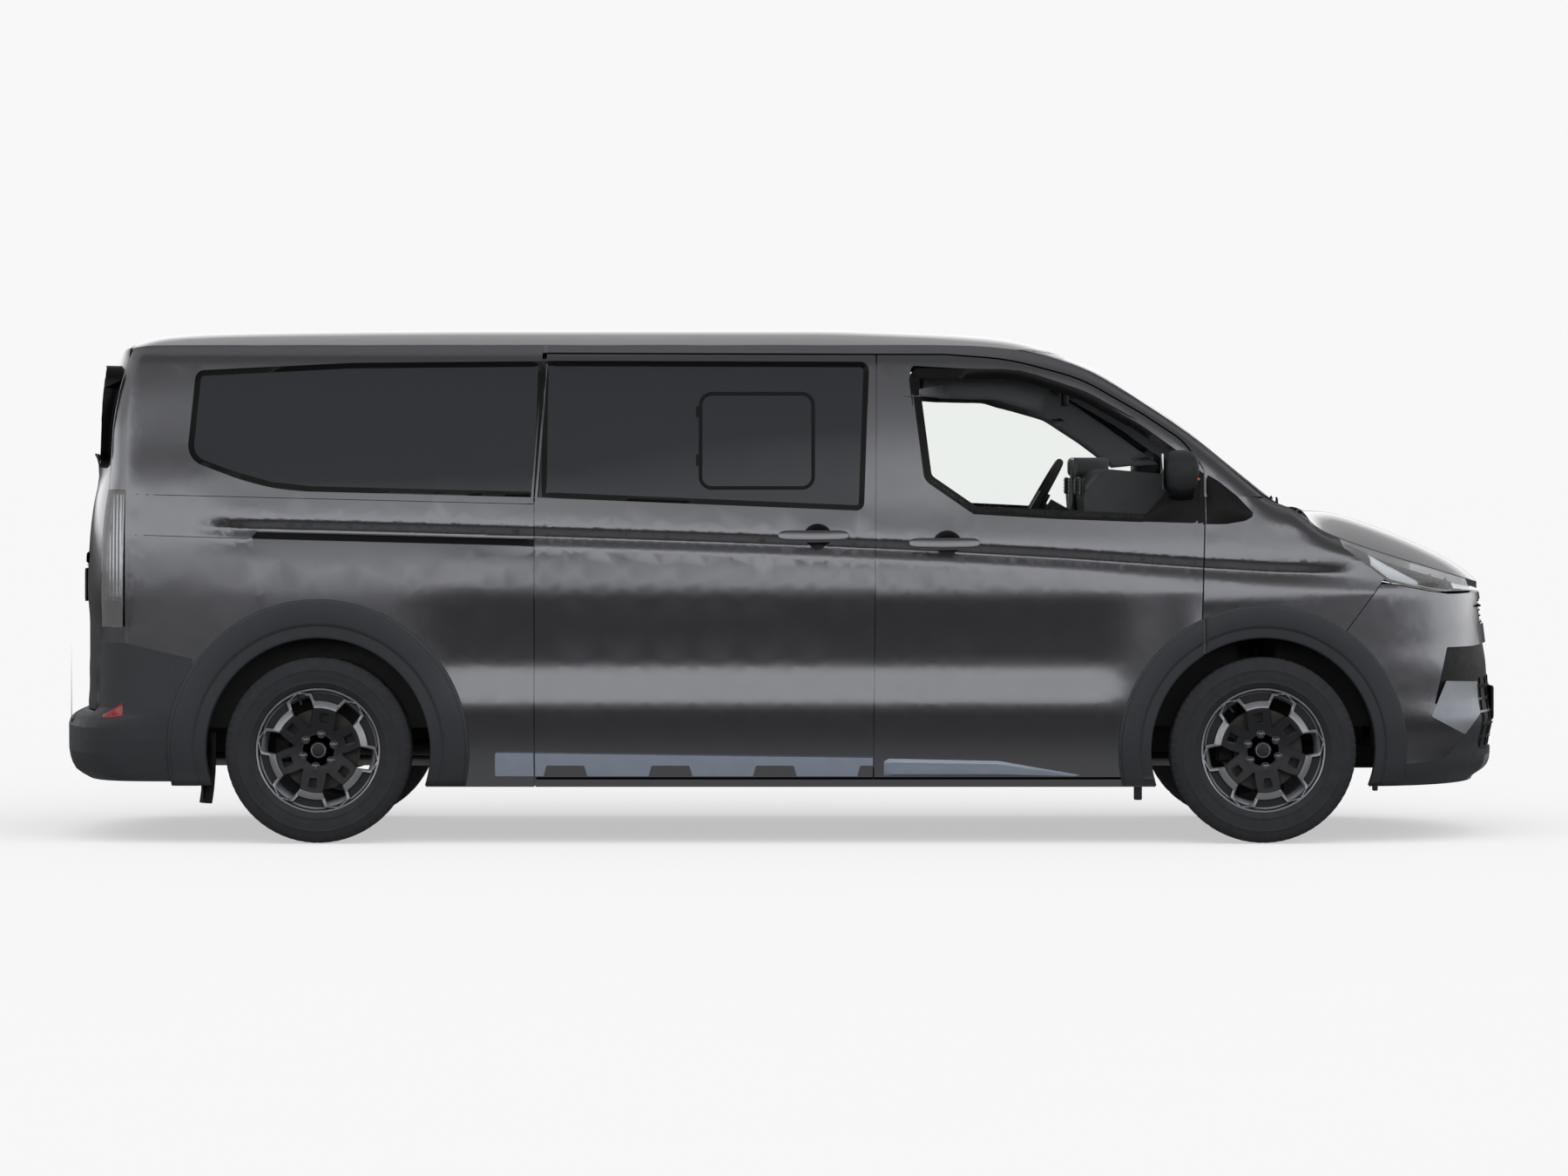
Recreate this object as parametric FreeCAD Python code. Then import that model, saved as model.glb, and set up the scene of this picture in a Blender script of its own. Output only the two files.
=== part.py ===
"""A long-wheelbase minibus: body panels cut from one computed skin, with doors, glass, lamps, seats and running gear.

The frame is millimetres: +X towards the nose, +Y to the left side, +Z up. The origin is on the ground, midway
between the ends of the bumpers and on the centre plane. Every body panel is a slice of the same skin, which is a
formula for the half-width at any length and height, so that neighbours stay flush across their shut lines.
"""

import FreeCAD
import Part
import math
import os

V = FreeCAD.Vector

# driving dimensions of the whole vehicle
HALF_LENGTH = 2725.0
WHEELBASE = 3500.0
FRONT_AXLE_X = 1778.0
REAR_AXLE_X = FRONT_AXLE_X - WHEELBASE
TYRE_RADIUS = 345.0
TYRE_WIDTH = 215.0
WHEEL_CENTRE_Y = 870.0
BODY_HALF_WIDTH = 1000.0
ROOF_HEIGHT = 1915.0
DRIP_HEIGHT = 1846.0
SILL_BOTTOM = 209.0
SILL_STRIP_TOP = 243.0

# walls, gaps and clearances
DOOR_WALL = 70.0
FENDER_WALL = 30.0
ROOF_WALL = 30.0
HOOD_WALL = 25.0
TAILGATE_WALL = 60.0
BUMPER_WALL = 30.0
GLASS = 6.0
SHUT_GAP = 6.0
SEAL = 0.3
GLASS_INSET = 3.0

# shut lines in side view
REAR_SHUT_X = -921.0
REAR_SHUT_TOP_X = -879.0
MIDDLE_SHUT_X = 342.0
FRONT_SHUT_X = 1555.0
DOOR_TOP = 1812.0

# wheel arches
ARCH_OPENING = 420.0
REAR_TRIM_RADIUS = 561.0
REAR_TRIM_INNER = 417.0
FRONT_TRIM_RADIUS = 538.0
FRONT_TRIM_INNER = 405.0
ARCH_TRIM_THICK = 16.0
LINER_RADIUS = 440.0
LINER_WALL = 8.0
LINER_OUTER_Y = 878.0
FRONT_LINER_Y = 555.0
REAR_LINER_Y = 720.0

# steering and hub geometry
KINGPIN_Y = 800.0
BALL_HEIGHT = 150.0
SPINDLE_RADIUS = 24.0
SPINDLE_REACH = 55.0
RUNNING = 0.3


def smooth(low, high, x):
    """0 below low, 1 above high and an S-curve between them."""
    t = max(0.0, min(1.0, (x - low) / (high - low)))
    return t * t * (3 - 2 * t)


def through(points):
    """A smooth function through the given points that never overshoots them (a monotone cubic)."""
    xs = [p[0] for p in points]
    ys = [p[1] for p in points]
    slopes = [(ys[i + 1] - ys[i]) / (xs[i + 1] - xs[i]) for i in range(len(xs) - 1)]
    tangents = [slopes[0]]
    for i in range(1, len(xs) - 1):
        a, b = slopes[i - 1], slopes[i]
        if a * b <= 0:
            tangents.append(0.0)
        else:
            wa = 2 * (xs[i + 1] - xs[i]) + (xs[i] - xs[i - 1])
            wb = (xs[i + 1] - xs[i]) + 2 * (xs[i] - xs[i - 1])
            tangents.append((wa + wb) / (wa / a + wb / b))
    tangents.append(slopes[-1])

    def value(x):
        if x <= xs[0]:
            return ys[0] + tangents[0] * (x - xs[0])
        if x >= xs[-1]:
            return ys[-1] + tangents[-1] * (x - xs[-1])
        i = max(k for k in range(len(xs) - 1) if xs[k] <= x)
        h = xs[i + 1] - xs[i]
        t = (x - xs[i]) / h
        return (
            (2 * t**3 - 3 * t**2 + 1) * ys[i]
            + (t**3 - 2 * t**2 + t) * h * tangents[i]
            + (-2 * t**3 + 3 * t**2) * ys[i + 1]
            + (t**3 - t**2) * h * tangents[i + 1]
        )

    return value


SEAT = 0.5
ROOF_MARGIN = 14.0
WINDSCREEN_MARGIN = 26.0
WINDSCREEN_DROP = 10.0
PILLAR_WALL = 45.0
SEAL_DEPTH = 6.0
HOOD_MARGIN = 14.0
LAMP_INNER_Y = 520.0
CORNER_INNER_Y = 560.0
MESH_DEPTH = 12.0
CORNER_X = -2438.0
PILLAR_FOOT = 1284.0
TRIM_THICK = 12.0
WHEEL_TILT = 29.5
CUP_SPHERE = 80.0
CUP_DEPTH = 21.0
SLOT_FLOOR_Y = -955.0
FLAP_BOTTOM = 150.0
DISC_RADIUS = 150.0
FLOOR_TOP = 450.0
RAIL_Y = 380.0
BEAD_RADIUS = 217.0
RIM_WELL = 190.0
REAR_WHEEL_TURN = 112.0
FRONT_WHEEL_TURN = 130.0

# the skin: plan view, nose and tail positions and the lines that run along the side
PLAN = through([(-2560, 948), (-2200, 972), (-1700, 985), (-1000, 996), (0, BODY_HALF_WIDTH), (900, 998),
                (1560, 988), (1950, 977), (2300, 962), (2725, 930)])
NOSE = through([(200, 2640), (260, 2690), (300, 2707), (365, 2709), (400, 2720), (440, HALF_LENGTH),
                (520, 2710), (650, 2702), (735, 2688), (860, 2672), (960, 2655), (1060, 2600)])
TAIL = through([(400, 2645), (800, 2640), (930, 2648), (1100, 2642), (1232, 2628), (1366, 2604), (1500, 2602),
                (1567, 2596), (1634, 2581), (1701, 2563), (1768, 2538), (1835, 2508), (1852, 2470), (1864, 2430)])
WAIST = through([(-2600, 1312), (-1849, 1306), (-1288, 1295), (-904, 1282), (193, 1236), (1320, 1191), (2200, 1160)])
CREASE = through([(-2400, 1192), (-1417, 1169), (193, 1116), (960, 1078), (1562, 1038), (1823, 1023), (2200, 1013)])
ROOF_EDGE = through([(-2560, 1800), (-2440, 1836), (-2300, DRIP_HEIGHT), (500, DRIP_HEIGHT), (693, 1843),
                     (860, 1829), (972, 1806), (1104, 1764), (1330, 1636), (1478, 1538), (1555, 1480), (1650, 1402),
                     (1739, 1328), (1800, 1276)])
FENDER_EDGE = through([(1500, 1282), (1700, 1281), (1860, 1249), (1910, 1226), (1997, 1158), (2071, 1126),
                       (2254, 1064), (2403, 1020), (2551, 978), (2660, 950)])
ROOF_CENTRE = through([(-2511, 1832), (-2444, 1862), (-2390, 1881), (-2260, 1898), (-2000, 1907), (-1004, ROOF_HEIGHT),
                       (100, ROOF_HEIGHT), (452, 1906), (753, 1890), (904, 1868), (1027, 1826), (1195, 1758),
                       (1322, 1676), (1450, 1588), (1603, 1468), (1706, 1384), (1900, 1236)])
HOOD_CENTRE = through([(1880, 1250), (1950, 1241), (2149, 1204), (2280, 1160), (2407, 1108), (2536, 1045),
                       (2600, 1004), (2650, 962)])


def inset(x, z):
    """How far the skin lies inside the plan outline: tuck-under, sculpted flank, crease and tumblehome."""
    recess = smooth(-1450, -1150, x) * (1 - smooth(1150, 1330, x))
    sharp = smooth(-2250, -1900, x) * (1 - smooth(1850, 2230, x))
    crease = CREASE(x)
    waist = max(WAIST(x), crease + 60)
    return through([
        (150, 90), (209, 58), (260, 38), (330, 20), (400, 9), (510, 2), (660, 2 + 13 * recess),
        (800, 2 + 8 * recess), (925, 2 + recess), (crease - 45, 9 + 2 * sharp), (crease - 15, 12 + 7 * sharp),
        (crease + 14, 15 - 3 * sharp), (waist - 8, 26), (waist + 40, 33), (1500, 66), (1700, 104), (1800, 128),
        (1860, 146),
    ])(z)


ROUND_OVER = 60.0
ROUND_STOP = 8.0
NOSE_START = 1900.0
NOSE_POWER = 3.5
TAIL_START = 2250.0
TAIL_POWER = 4.5


def rounding(x, z, edge):
    """How far the skin turns inwards just below its upper edge line."""
    if edge is None:
        return 0.0
    slope = (edge(x + 20) - edge(x - 20)) / 40
    depth = max(ROUND_STOP, (edge(x) - z) / math.hypot(1, slope))
    if depth >= ROUND_OVER:
        return 0.0
    share = 1 - depth / ROUND_OVER
    return ROUND_OVER * (1 - math.sqrt(1 - share * share))


def eased(share, start=0.88):
    """A share along the nose or tail, held smoothly short of 1 so that the skin can be drawn a little past its end."""
    rest = 0.999 - start
    return share if share < start else start + rest * (1 - math.exp(-(share - start) / rest))


def half_width(x, z, edge=None):
    """Half the body's width at this length and height. Below its upper edge line the skin rounds over inwards."""
    width = PLAN(x) - inset(x, z)
    width -= rounding(x, z, edge)
    if x > NOSE_START:
        share = eased((x - NOSE_START) / (NOSE(z) - NOSE_START), 0.99)
        width *= math.sqrt(1 - share**NOSE_POWER)
    if -x > TAIL_START:
        share = eased((-x - TAIL_START) / (TAIL(min(z, 1800)) - TAIL_START))
        width *= math.sqrt(1 - share**TAIL_POWER)
    return width


def spaced(low, high, step):
    count = max(3, int(math.ceil((high - low) / step)))
    return [low + (high - low) * i / count for i in range(count + 1)]


def side_heights(x, top):
    """Heights of the skin's grid lines at one length: they follow the crease and the upper edge."""
    crease = CREASE(x)
    lower = [150, 180, 209, 235, 270, 320, 380, 450, 520, 590, 660, 730, 800, 865, 925]
    middle = [crease - 80, crease - 45, crease - 15, crease, crease + 14, crease + 30]
    start = middle[-1]
    shares = [0.12, 0.25, 0.4, 0.55, 0.68, 0.78, 0.86, 0.92, 0.96, 1.0]
    return lower + middle + [start + (top - start) * s for s in shares]


def side_face(x0, x1, edge, step=90.0):
    """The right-hand skin between two lengths, as one curved face."""
    rows = []
    for x in spaced(x0, x1, step):
        rows.append([V(x, -half_width(x, z, edge), z) for z in side_heights(x, edge(x))])
    surface = Part.BSplineSurface()
    surface.interpolate(rows)
    return surface.toShape()


def side_slab(x0, x1, edge, wall, depth=0.0, step=90.0):
    """The right-hand skin as a slab of the given wall, its outside lying depth inside the skin."""
    face = side_face(x0, x1, edge, step)
    face.translate(V(0, depth, 0))
    return face.extrude(V(0, wall, 0))


def top_face(x0, x1, centre, edge, power, margin=0.0, crowd=1.0, step=70.0):
    """The roof, windscreen or hood skin: a crowned sheet between the two upper edge lines, less a margin.

    A crowd above 1 draws the grid together at the x1 end, where the plan turns quickly.
    """
    shares = [-1, -0.97, -0.9, -0.8, -0.65, -0.45, -0.2, 0, 0.2, 0.45, 0.65, 0.8, 0.9, 0.97, 1]
    rows = []
    for t in spaced(0, 1, step / abs(x1 - x0)):
        x = x0 + (x1 - x0) * (1 - (1 - t) ** crowd)
        low, high = edge(x), centre(x)
        width = half_width(x, low, edge)
        inner = (width - margin) / width
        rows.append([V(x, q * inner * width, high - (high - low) * abs(q * inner) ** power) for q in shares])
    surface = Part.BSplineSurface()
    surface.interpolate(rows)
    return surface.toShape()


def outline(points, place):
    """A closed face through points (a, b, corner radius), its corners rounded by tangent arcs.

    place turns the outline's two coordinates into a point in space.
    """
    corners = []
    n = len(points)
    for i in range(n):
        p = V(points[i][0], points[i][1], 0)
        radius = points[i][2] if len(points[i]) > 2 else 0.0
        to_last = V(points[i - 1][0], points[i - 1][1], 0) - p
        to_next = V(points[(i + 1) % n][0], points[(i + 1) % n][1], 0) - p
        if radius <= 0:
            corners.append((p, p, p))
            continue
        half = to_last.getAngle(to_next) / 2
        reach = min(radius / math.tan(half), 0.49 * to_last.Length, 0.49 * to_next.Length)
        radius = reach * math.tan(half)
        to_last.normalize()
        to_next.normalize()
        middle = to_last + to_next
        middle.normalize()
        centre = p + middle * (radius / math.sin(half))
        corners.append((p + to_last * reach, centre - middle * radius, p + to_next * reach))
    edges = []
    for i in range(n):
        start, mid, end = (place(q.x, q.y) for q in corners[i])
        if (end - start).Length > 1e-6:
            edges.append(Part.Arc(start, mid, end).toShape())
        following = corners[(i + 1) % n][0]
        following = place(following.x, following.y)
        if (following - end).Length > 1e-6:
            edges.append(Part.LineSegment(end, following).toShape())
    return Part.Face(Part.Wire(edges))


def side_prism(points, y0=-1300.0, y1=-300.0):
    """A prism whose outline is drawn in side view."""
    return outline(points, lambda a, b: V(a, y0, b)).extrude(V(0, y1 - y0, 0))


def front_prism(points, x0, x1):
    """A prism whose outline is drawn in front view."""
    return outline(points, lambda a, b: V(x0, a, b)).extrude(V(x1 - x0, 0, 0))


def plan_prism(points, z0, z1):
    """A prism whose outline is drawn in plan view."""
    return outline(points, lambda a, b: V(a, b, z0)).extrude(V(0, 0, z1 - z0))


def grown(points, by):
    """The outline moved outwards by a distance, with its corner radii grown to match."""
    n = len(points)
    area = sum(points[i - 1][0] * points[i][1] - points[i][0] * points[i - 1][1] for i in range(n))
    turn = 1.0 if area > 0 else -1.0
    lines = []
    for i in range(n):
        ax, ay = points[i][0], points[i][1]
        bx, by_ = points[(i + 1) % n][0], points[(i + 1) % n][1]
        length = math.hypot(bx - ax, by_ - ay)
        nx, ny = (by_ - ay) / length * turn, -(bx - ax) / length * turn
        lines.append((ax + nx * by, ay + ny * by, (bx - ax) / length, (by_ - ay) / length))
    out = []
    for i in range(n):
        px, py, dx, dy = lines[i - 1]
        qx, qy, ex, ey = lines[i]
        cross = dx * ey - dy * ex
        t = ((qx - px) * ey - (qy - py) * ex) / cross
        radius = points[i][2] if len(points[i]) > 2 else 0.0
        convex = cross * turn > 0
        out.append((px + dx * t, py + dy * t, max(0.0, radius + (by if convex else -by)) if radius else 0.0))
    return out


def cylinder_y(radius, y0, y1, x, z):
    return Part.makeCylinder(radius, y1 - y0, V(x, y0, z), V(0, 1, 0))


def block(x0, x1, y0, y1, z0, z1):
    return Part.makeBox(x1 - x0, y1 - y0, z1 - z0, V(x0, y0, z0))


def rounded_block(x0, x1, y0, y1, z0, z1, radius):
    solid = block(x0, x1, y0, y1, z0, z1)
    return solid.makeFillet(radius, solid.Edges)


def tube(a, b, radius):
    return Part.makeCylinder(radius, (b - a).Length, a, b - a)


def mirrored(shape):
    return shape.mirror(V(0, 0, 0), V(0, 1, 0))


def fused(shapes):
    result = shapes[0]
    for s in shapes[1:]:
        result = result.fuse(s)
    return result.removeSplitter()


def solids_of(shapes):
    found = []
    for s in shapes:
        found.extend(s.Solids)
    return found


NODES = {}


def add(name, *shapes):
    """Keeps a node: one solid, or several that don't touch."""
    found = solids_of(shapes)
    NODES[name] = found[0] if len(found) == 1 else Part.makeCompound(found)
    NODES[name].exportStep(os.path.join("parts", name + ".step"))
    print(name, len(found), "solids", [round(s.Volume / 1e6, 2) for s in found], flush=True)


# the lengths over which each side panel's skin is drawn; what lies on a panel is drawn over the same lengths
QUARTER_GRID = (CORNER_X, -860.0)
SLIDING_GRID = (-940.0, 360.0)
DOOR_GRID = (320.0, 1580.0)
FENDER_GRID = (1545.0, 2330.0)
POST_GRID = (-985.0, 1640.0)

# outlines of the openings, in side view
SLIDING_DOOR = [(REAR_SHUT_X, SILL_STRIP_TOP), (MIDDLE_SHUT_X - 8, SILL_STRIP_TOP), (MIDDLE_SHUT_X, 1200),
                (MIDDLE_SHUT_X + 4, DOOR_TOP), (REAR_SHUT_TOP_X, DOOR_TOP + 4), (REAR_SHUT_X, 1283)]
SLIDING_WINDOW = [(REAR_SHUT_X + 12, 1281), (299, 1232, 30), (318, 1784, 32), (REAR_SHUT_TOP_X + 6, 1788)]
QUARTER_WINDOW = [(REAR_SHUT_X - 12, 1282), (-1285, 1291, 3000), (-1902, 1307, 900), (-2210, 1422, 80),
                  (-2180, 1752, 34), (-1600, 1780, 700), (REAR_SHUT_TOP_X - 12, 1786)]
FRONT_WINDOW = [(470, 1752, 30), (522, 1345, 55), (700, 1222, 60), (1330, 1192), (1535, 1186, 20),
                (1535, 1400, 60), (1330, 1548, 500), (1120, 1668, 400), (880, 1748, 400), (480, 1770, 30)]


def front_door_outline():
    """The front door in side view: straight shut lines, the wheel arch and the pillar line."""
    arch = ARCH_OPENING
    return [(MIDDLE_SHUT_X - 8, SILL_STRIP_TOP), (1500, SILL_STRIP_TOP), (FRONT_SHUT_X - 9, 676),
            (FRONT_SHUT_X + 6, 1190), (FRONT_SHUT_X + 4, 1385, 60), (1478, 1494, 200), (1330, 1592, 500),
            (1104, 1722, 600), (837, 1794, 900), (600, DOOR_TOP), (MIDDLE_SHUT_X + 4, DOOR_TOP),
            (MIDDLE_SHUT_X, 1200)]


FRONT_DOOR = front_door_outline()
# the opening in the rear face that the tailgate fills, in front view
TAILGATE = [(-800, 490, 40), (800, 490, 40), (818, 760, 100), (832, 1000, 200), (812, 1300, 400), (735, 1900),
            (-735, 1900), (-812, 1300, 400), (-832, 1000, 200), (-818, 760, 100)]
TAIL_WINDOW = [(-778, 1392, 60), (778, 1392, 60), (735, 1772, 60), (-735, 1772, 60)]
TAIL_LAMP = [(-2700, 801), (-2448, 801, 10), (-2444, 1100, 400), (-2438, 1305, 12), (-2700, 1309)]
HEAD_LAMP = [(2062, 1128), (2075, 1096), (2256, 962, 20), (2405, 934, 60), (2490, 922), (2720, 922), (2720, 1300),
             (2062, 1300)]
BUMPER_SIDE = [(2030, 150), (2030, 690), (2085, 786), (2227, 975), (2256, 959), (2405, 931), (2490, 919),
               (2800, 919), (2800, 150)]
REAR_CORNER = [(-2800, 741), (-2435, 741), (-2187, 683), (-2187, 100), (-2800, 100)]
WINDSCREEN_TOP = [(1030, 0), (1010, 420), (960, 640), (880, 800), (780, 1000)]
WINDSCREEN_FOOT = [(1905, 0), (1890, 420), (1840, 700), (1760, 900), (1700, 1000)]
SLIDER_SLOT = [(-1975, 1126, 6), (-1945, 1157, 10), (-900, 1129), (-900, 1098)]
# the dark band round the nose, the silver pieces below it and the black lip, in side view
NOSE_BAND = [(2475, 722, 6), (2590, 722), (2900, 745), (2900, 572), (2470, 598, 6), (2414, 476, 4)]
NOSE_CORNER = [(2471, 597, 6), (2900, 571), (2900, 500), (2636, 484, 20), (2552, 393, 12), (2410, 467, 8)]
NOSE_LIP = [(2020, 100), (2020, 262), (2230, 287, 300), (2463, 300, 120), (2552, 392, 30), (2636, 483, 20),
            (2900, 499), (2900, 100)]
UPPER_GRILLE = [(-400, 800, 40), (400, 800, 40), (450, 892, 40), (-450, 892, 40)]
LOWER_INTAKE = [(-560, 330, 50), (560, 330, 50), (560, 640), (-560, 640)]
SKID = [(-380, 100), (380, 100), (430, 306, 20), (-430, 306, 20)]
SILL_TRIM = [(-1066, 250), (-1066, 337, 6), (-913, 335), (338, 318), (798, 308), (1111, 250)]
STEP = through([(200, 2600), (228, 2650), (257, 2700), (302, 2720), (330, HALF_LENGTH), (425, HALF_LENGTH),
                (450, 2714), (467, 2690), (476, 2660), (500, 2646), (760, 2644)])


def body_edge(x):
    """The upper edge line of the fender, which runs into the windscreen pillar's."""
    return max(FENDER_EDGE(x), ROOF_EDGE(x))


def end_solid(reach, start, power, sign, heights, depth=0.0, ruled=False, edge=None):
    """The nose (sign 1) or tail (sign -1) of the body as a full solid, lofted through plan outlines."""
    wires = []
    for z in heights:
        points = []
        length = reach(z) - depth - start
        for t in spaced(-1, 1, 0.08):
            a = math.copysign(90 * (1 - (1 - abs(t)) ** 2), t)
            s = math.cos(math.radians(a)) ** (2 / power) if abs(a) < 89.999 else 0.0
            x = sign * (start + s * length)
            width = PLAN(x) - inset(x, z) - rounding(x, z, edge) - depth
            points.append(V(x, math.sin(math.radians(a)) * width, z))
        curve = Part.BSplineCurve()
        curve.interpolate(points)
        wires.append(Part.Wire([curve.toShape(), Part.LineSegment(points[-1], points[0]).toShape()]))
    return Part.makeLoft(wires, True, ruled)


def arch_cut(x, radius, y0=-1300.0, y1=-300.0):
    return cylinder_y(radius, y0, y1, x, TYRE_RADIUS)


def over_edge(edge, x0, x1):
    """Everything above an edge line, as a prism across the body."""
    row = [V(x, -1300, edge(x)) for x in spaced(x0, x1, 50)]
    curve = Part.BSplineCurve()
    curve.interpolate(row)
    a, b = V(x1, -1300, 2200), V(x0, -1300, 2200)
    wire = Part.Wire([curve.toShape(), Part.LineSegment(row[-1], a).toShape(), Part.LineSegment(a, b).toShape(),
                      Part.LineSegment(b, row[0]).toShape()])
    return Part.Face(wire).extrude(V(0, 2600, 0))


def half_ring(x, outer, inner, y0, y1, low):
    """A wheel arch band: a ring round the axle, above a height."""
    ring = cylinder_y(outer, y0, y1, x, TYRE_RADIUS).cut(cylinder_y(inner, y0 - 1, y1 + 1, x, TYRE_RADIUS))
    return ring.cut(block(x - 700, x + 700, y0 - 1, y1 + 1, -400, low))


def top_slab(x0, x1, wall, margin, lift=0.0, power=2.6, centre=ROOF_CENTRE, edge=ROOF_EDGE, crowd=1.0):
    face = top_face(x0, x1, centre, edge, power, margin, crowd)
    face.translate(V(0, 0, lift))
    return face.extrude(V(0, 0, -wall - lift))


def ahead_of(points, shift, back):
    """A plan region from a curve, given for one side and mirrored, to a straight line across at x = back."""
    whole = [(x, -y) for x, y in reversed(points[1:])] + points
    row = [V(x + shift, y, 0) for x, y in whole]
    curve = Part.BSplineCurve()
    curve.interpolate(row)
    a, b = V(back, row[-1].y, 0), V(back, row[0].y, 0)
    wire = Part.Wire([curve.toShape(), Part.LineSegment(row[-1], a).toShape(), Part.LineSegment(a, b).toShape(),
                      Part.LineSegment(b, row[0]).toShape()])
    return Part.Face(wire).extrude(V(0, 0, 3000))


def both(shape):
    """The right-hand shape and its mirror image."""
    return [shape, mirrored(shape)]


def largest(shape):
    return max(shape.Solids, key=lambda s: s.Volume)


def above(height):
    return block(-3500, 3500, -2000, 2000, height, 3000)


def below(height):
    return block(-3500, 3500, -2000, 2000, -100, height)


def trim_sheet(grid, edge, thick):
    """A sheet that lies on the outside of the skin, just clear of it."""
    return side_slab(*grid, edge, thick - SEAL, -thick)


def cup(x, z):
    """A shallow round hollow in the right-hand skin, behind a door handle."""
    return Part.makeSphere(CUP_SPHERE, V(x, -half_width(x, z, ROOF_EDGE) - CUP_SPHERE + CUP_DEPTH, z))


def skin_parts():
    """Everything cut from the right-hand skin, by name."""
    roof_tool = top_slab(-2440, 1100, ROOF_WALL + SEAT, ROOF_MARGIN - SEAT, 60)
    glass_tool = top_slab(860, 1930, WINDSCREEN_DROP + SEAT, WINDSCREEN_MARGIN - SEAT, 60)
    front_arch = arch_cut(FRONT_AXLE_X, ARCH_OPENING)
    rear_arch = arch_cut(REAR_AXLE_X, ARCH_OPENING)
    parts = {}

    ahead = REAR_SHUT_X - SHUT_GAP / 2
    hatch = front_prism(grown(TAILGATE, SHUT_GAP), -2900, -2380)
    quarter = side_slab(*QUARTER_GRID, ROOF_EDGE, DOOR_WALL)
    quarter = quarter.cut(side_prism([(ahead, 0), (ahead, 1283), (REAR_SHUT_TOP_X - SHUT_GAP / 2, 2000),
                                      (-700, 2000), (-700, 0)]))
    quarter = quarter.cut(side_prism(QUARTER_WINDOW)).cut(rear_arch).cut(below(SILL_BOTTOM))
    quarter = quarter.cut(side_prism(grown(REAR_CORNER, SEAT))).cut(side_prism(grown(TAIL_LAMP, SEAT)))
    quarter = quarter.cut(side_prism(SLIDER_SLOT, -1300, SLOT_FLOOR_Y))
    quarter = quarter.cut(block(-2300, REAR_AXLE_X - 300, -1300, -300, 0, 400))
    parts["quarter"] = largest(quarter.cut(roof_tool).cut(hatch))
    corner = side_slab(-2550, CORNER_X - SEAL, ROOF_EDGE, DOOR_WALL, step=30)
    parts["upper_corner"] = largest(corner.cut(below(1309 + SEAT)).cut(hatch))
    parts["lower_corner"] = largest(corner.cut(above(801 - SEAT)).cut(below(741 + SEAT)).cut(hatch))

    slab = side_slab(*SLIDING_GRID, ROOF_EDGE, DOOR_WALL)
    sliding = slab.common(side_prism(grown(SLIDING_DOOR, -SHUT_GAP / 2))).cut(side_prism(SLIDING_WINDOW))
    parts["sliding"] = sliding.cut(cup(128, 1138))
    slab = side_slab(*DOOR_GRID, ROOF_EDGE, DOOR_WALL)
    door = slab.common(side_prism(grown(FRONT_DOOR, -SHUT_GAP / 2)))
    parts["front"] = door.cut(side_prism(FRONT_WINDOW)).cut(front_arch).cut(cup(607, 1112))

    windows = [("quarter_glass", QUARTER_GRID, QUARTER_WINDOW), ("sliding_glass", SLIDING_GRID, SLIDING_WINDOW),
               ("front_glass", DOOR_GRID, FRONT_WINDOW)]
    for name, grid, shape in windows:
        sheet = side_slab(*grid, ROOF_EDGE, GLASS, GLASS_INSET)
        parts[name] = sheet.common(side_prism(grown(shape, -SEAL)))

    rail = side_slab(REAR_SHUT_TOP_X + 3, 1790, ROOF_EDGE, DOOR_WALL + 4)
    rail = rail.cut(side_prism(grown(SLIDING_DOOR, SHUT_GAP / 2)))
    rail = rail.cut(side_prism(grown(FRONT_DOOR, SHUT_GAP / 2))).cut(roof_tool).cut(glass_tool)
    parts["rail"] = largest(rail.cut(below(PILLAR_FOOT + SEAT)))

    strip = side_slab(REAR_SHUT_X + 3, 1400, ROOF_EDGE, DOOR_WALL + SEAL_DEPTH - SEAL)
    strip = strip.cut(below(SILL_BOTTOM)).cut(above(SILL_STRIP_TOP - SHUT_GAP))
    parts["strip"] = strip.cut(rear_arch).cut(front_arch)

    post = side_slab(*POST_GRID, ROOF_EDGE, PILLAR_WALL, DOOR_WALL + SEAL_DEPTH)
    post = post.cut(side_prism(grown(SLIDING_DOOR, -26))).cut(side_prism(grown(FRONT_DOOR, -26)))
    post = post.cut(roof_tool).cut(glass_tool).cut(below(SILL_BOTTOM)).cut(arch_cut(FRONT_AXLE_X, LINER_RADIUS + SEAL))
    parts["post"] = largest(post)

    for name, grid, shape in [("sliding_seal", SLIDING_GRID, SLIDING_DOOR), ("front_seal", DOOR_GRID, FRONT_DOOR)]:
        sheet = side_slab(*grid, ROOF_EDGE, SEAL_DEPTH - 2 * SEAL, DOOR_WALL + SEAL)
        sheet = sheet.common(side_prism(grown(shape, -8))).cut(side_prism(grown(shape, -25)))
        parts[name] = largest(sheet.cut(arch_cut(FRONT_AXLE_X, FRONT_TRIM_RADIUS)))

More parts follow.
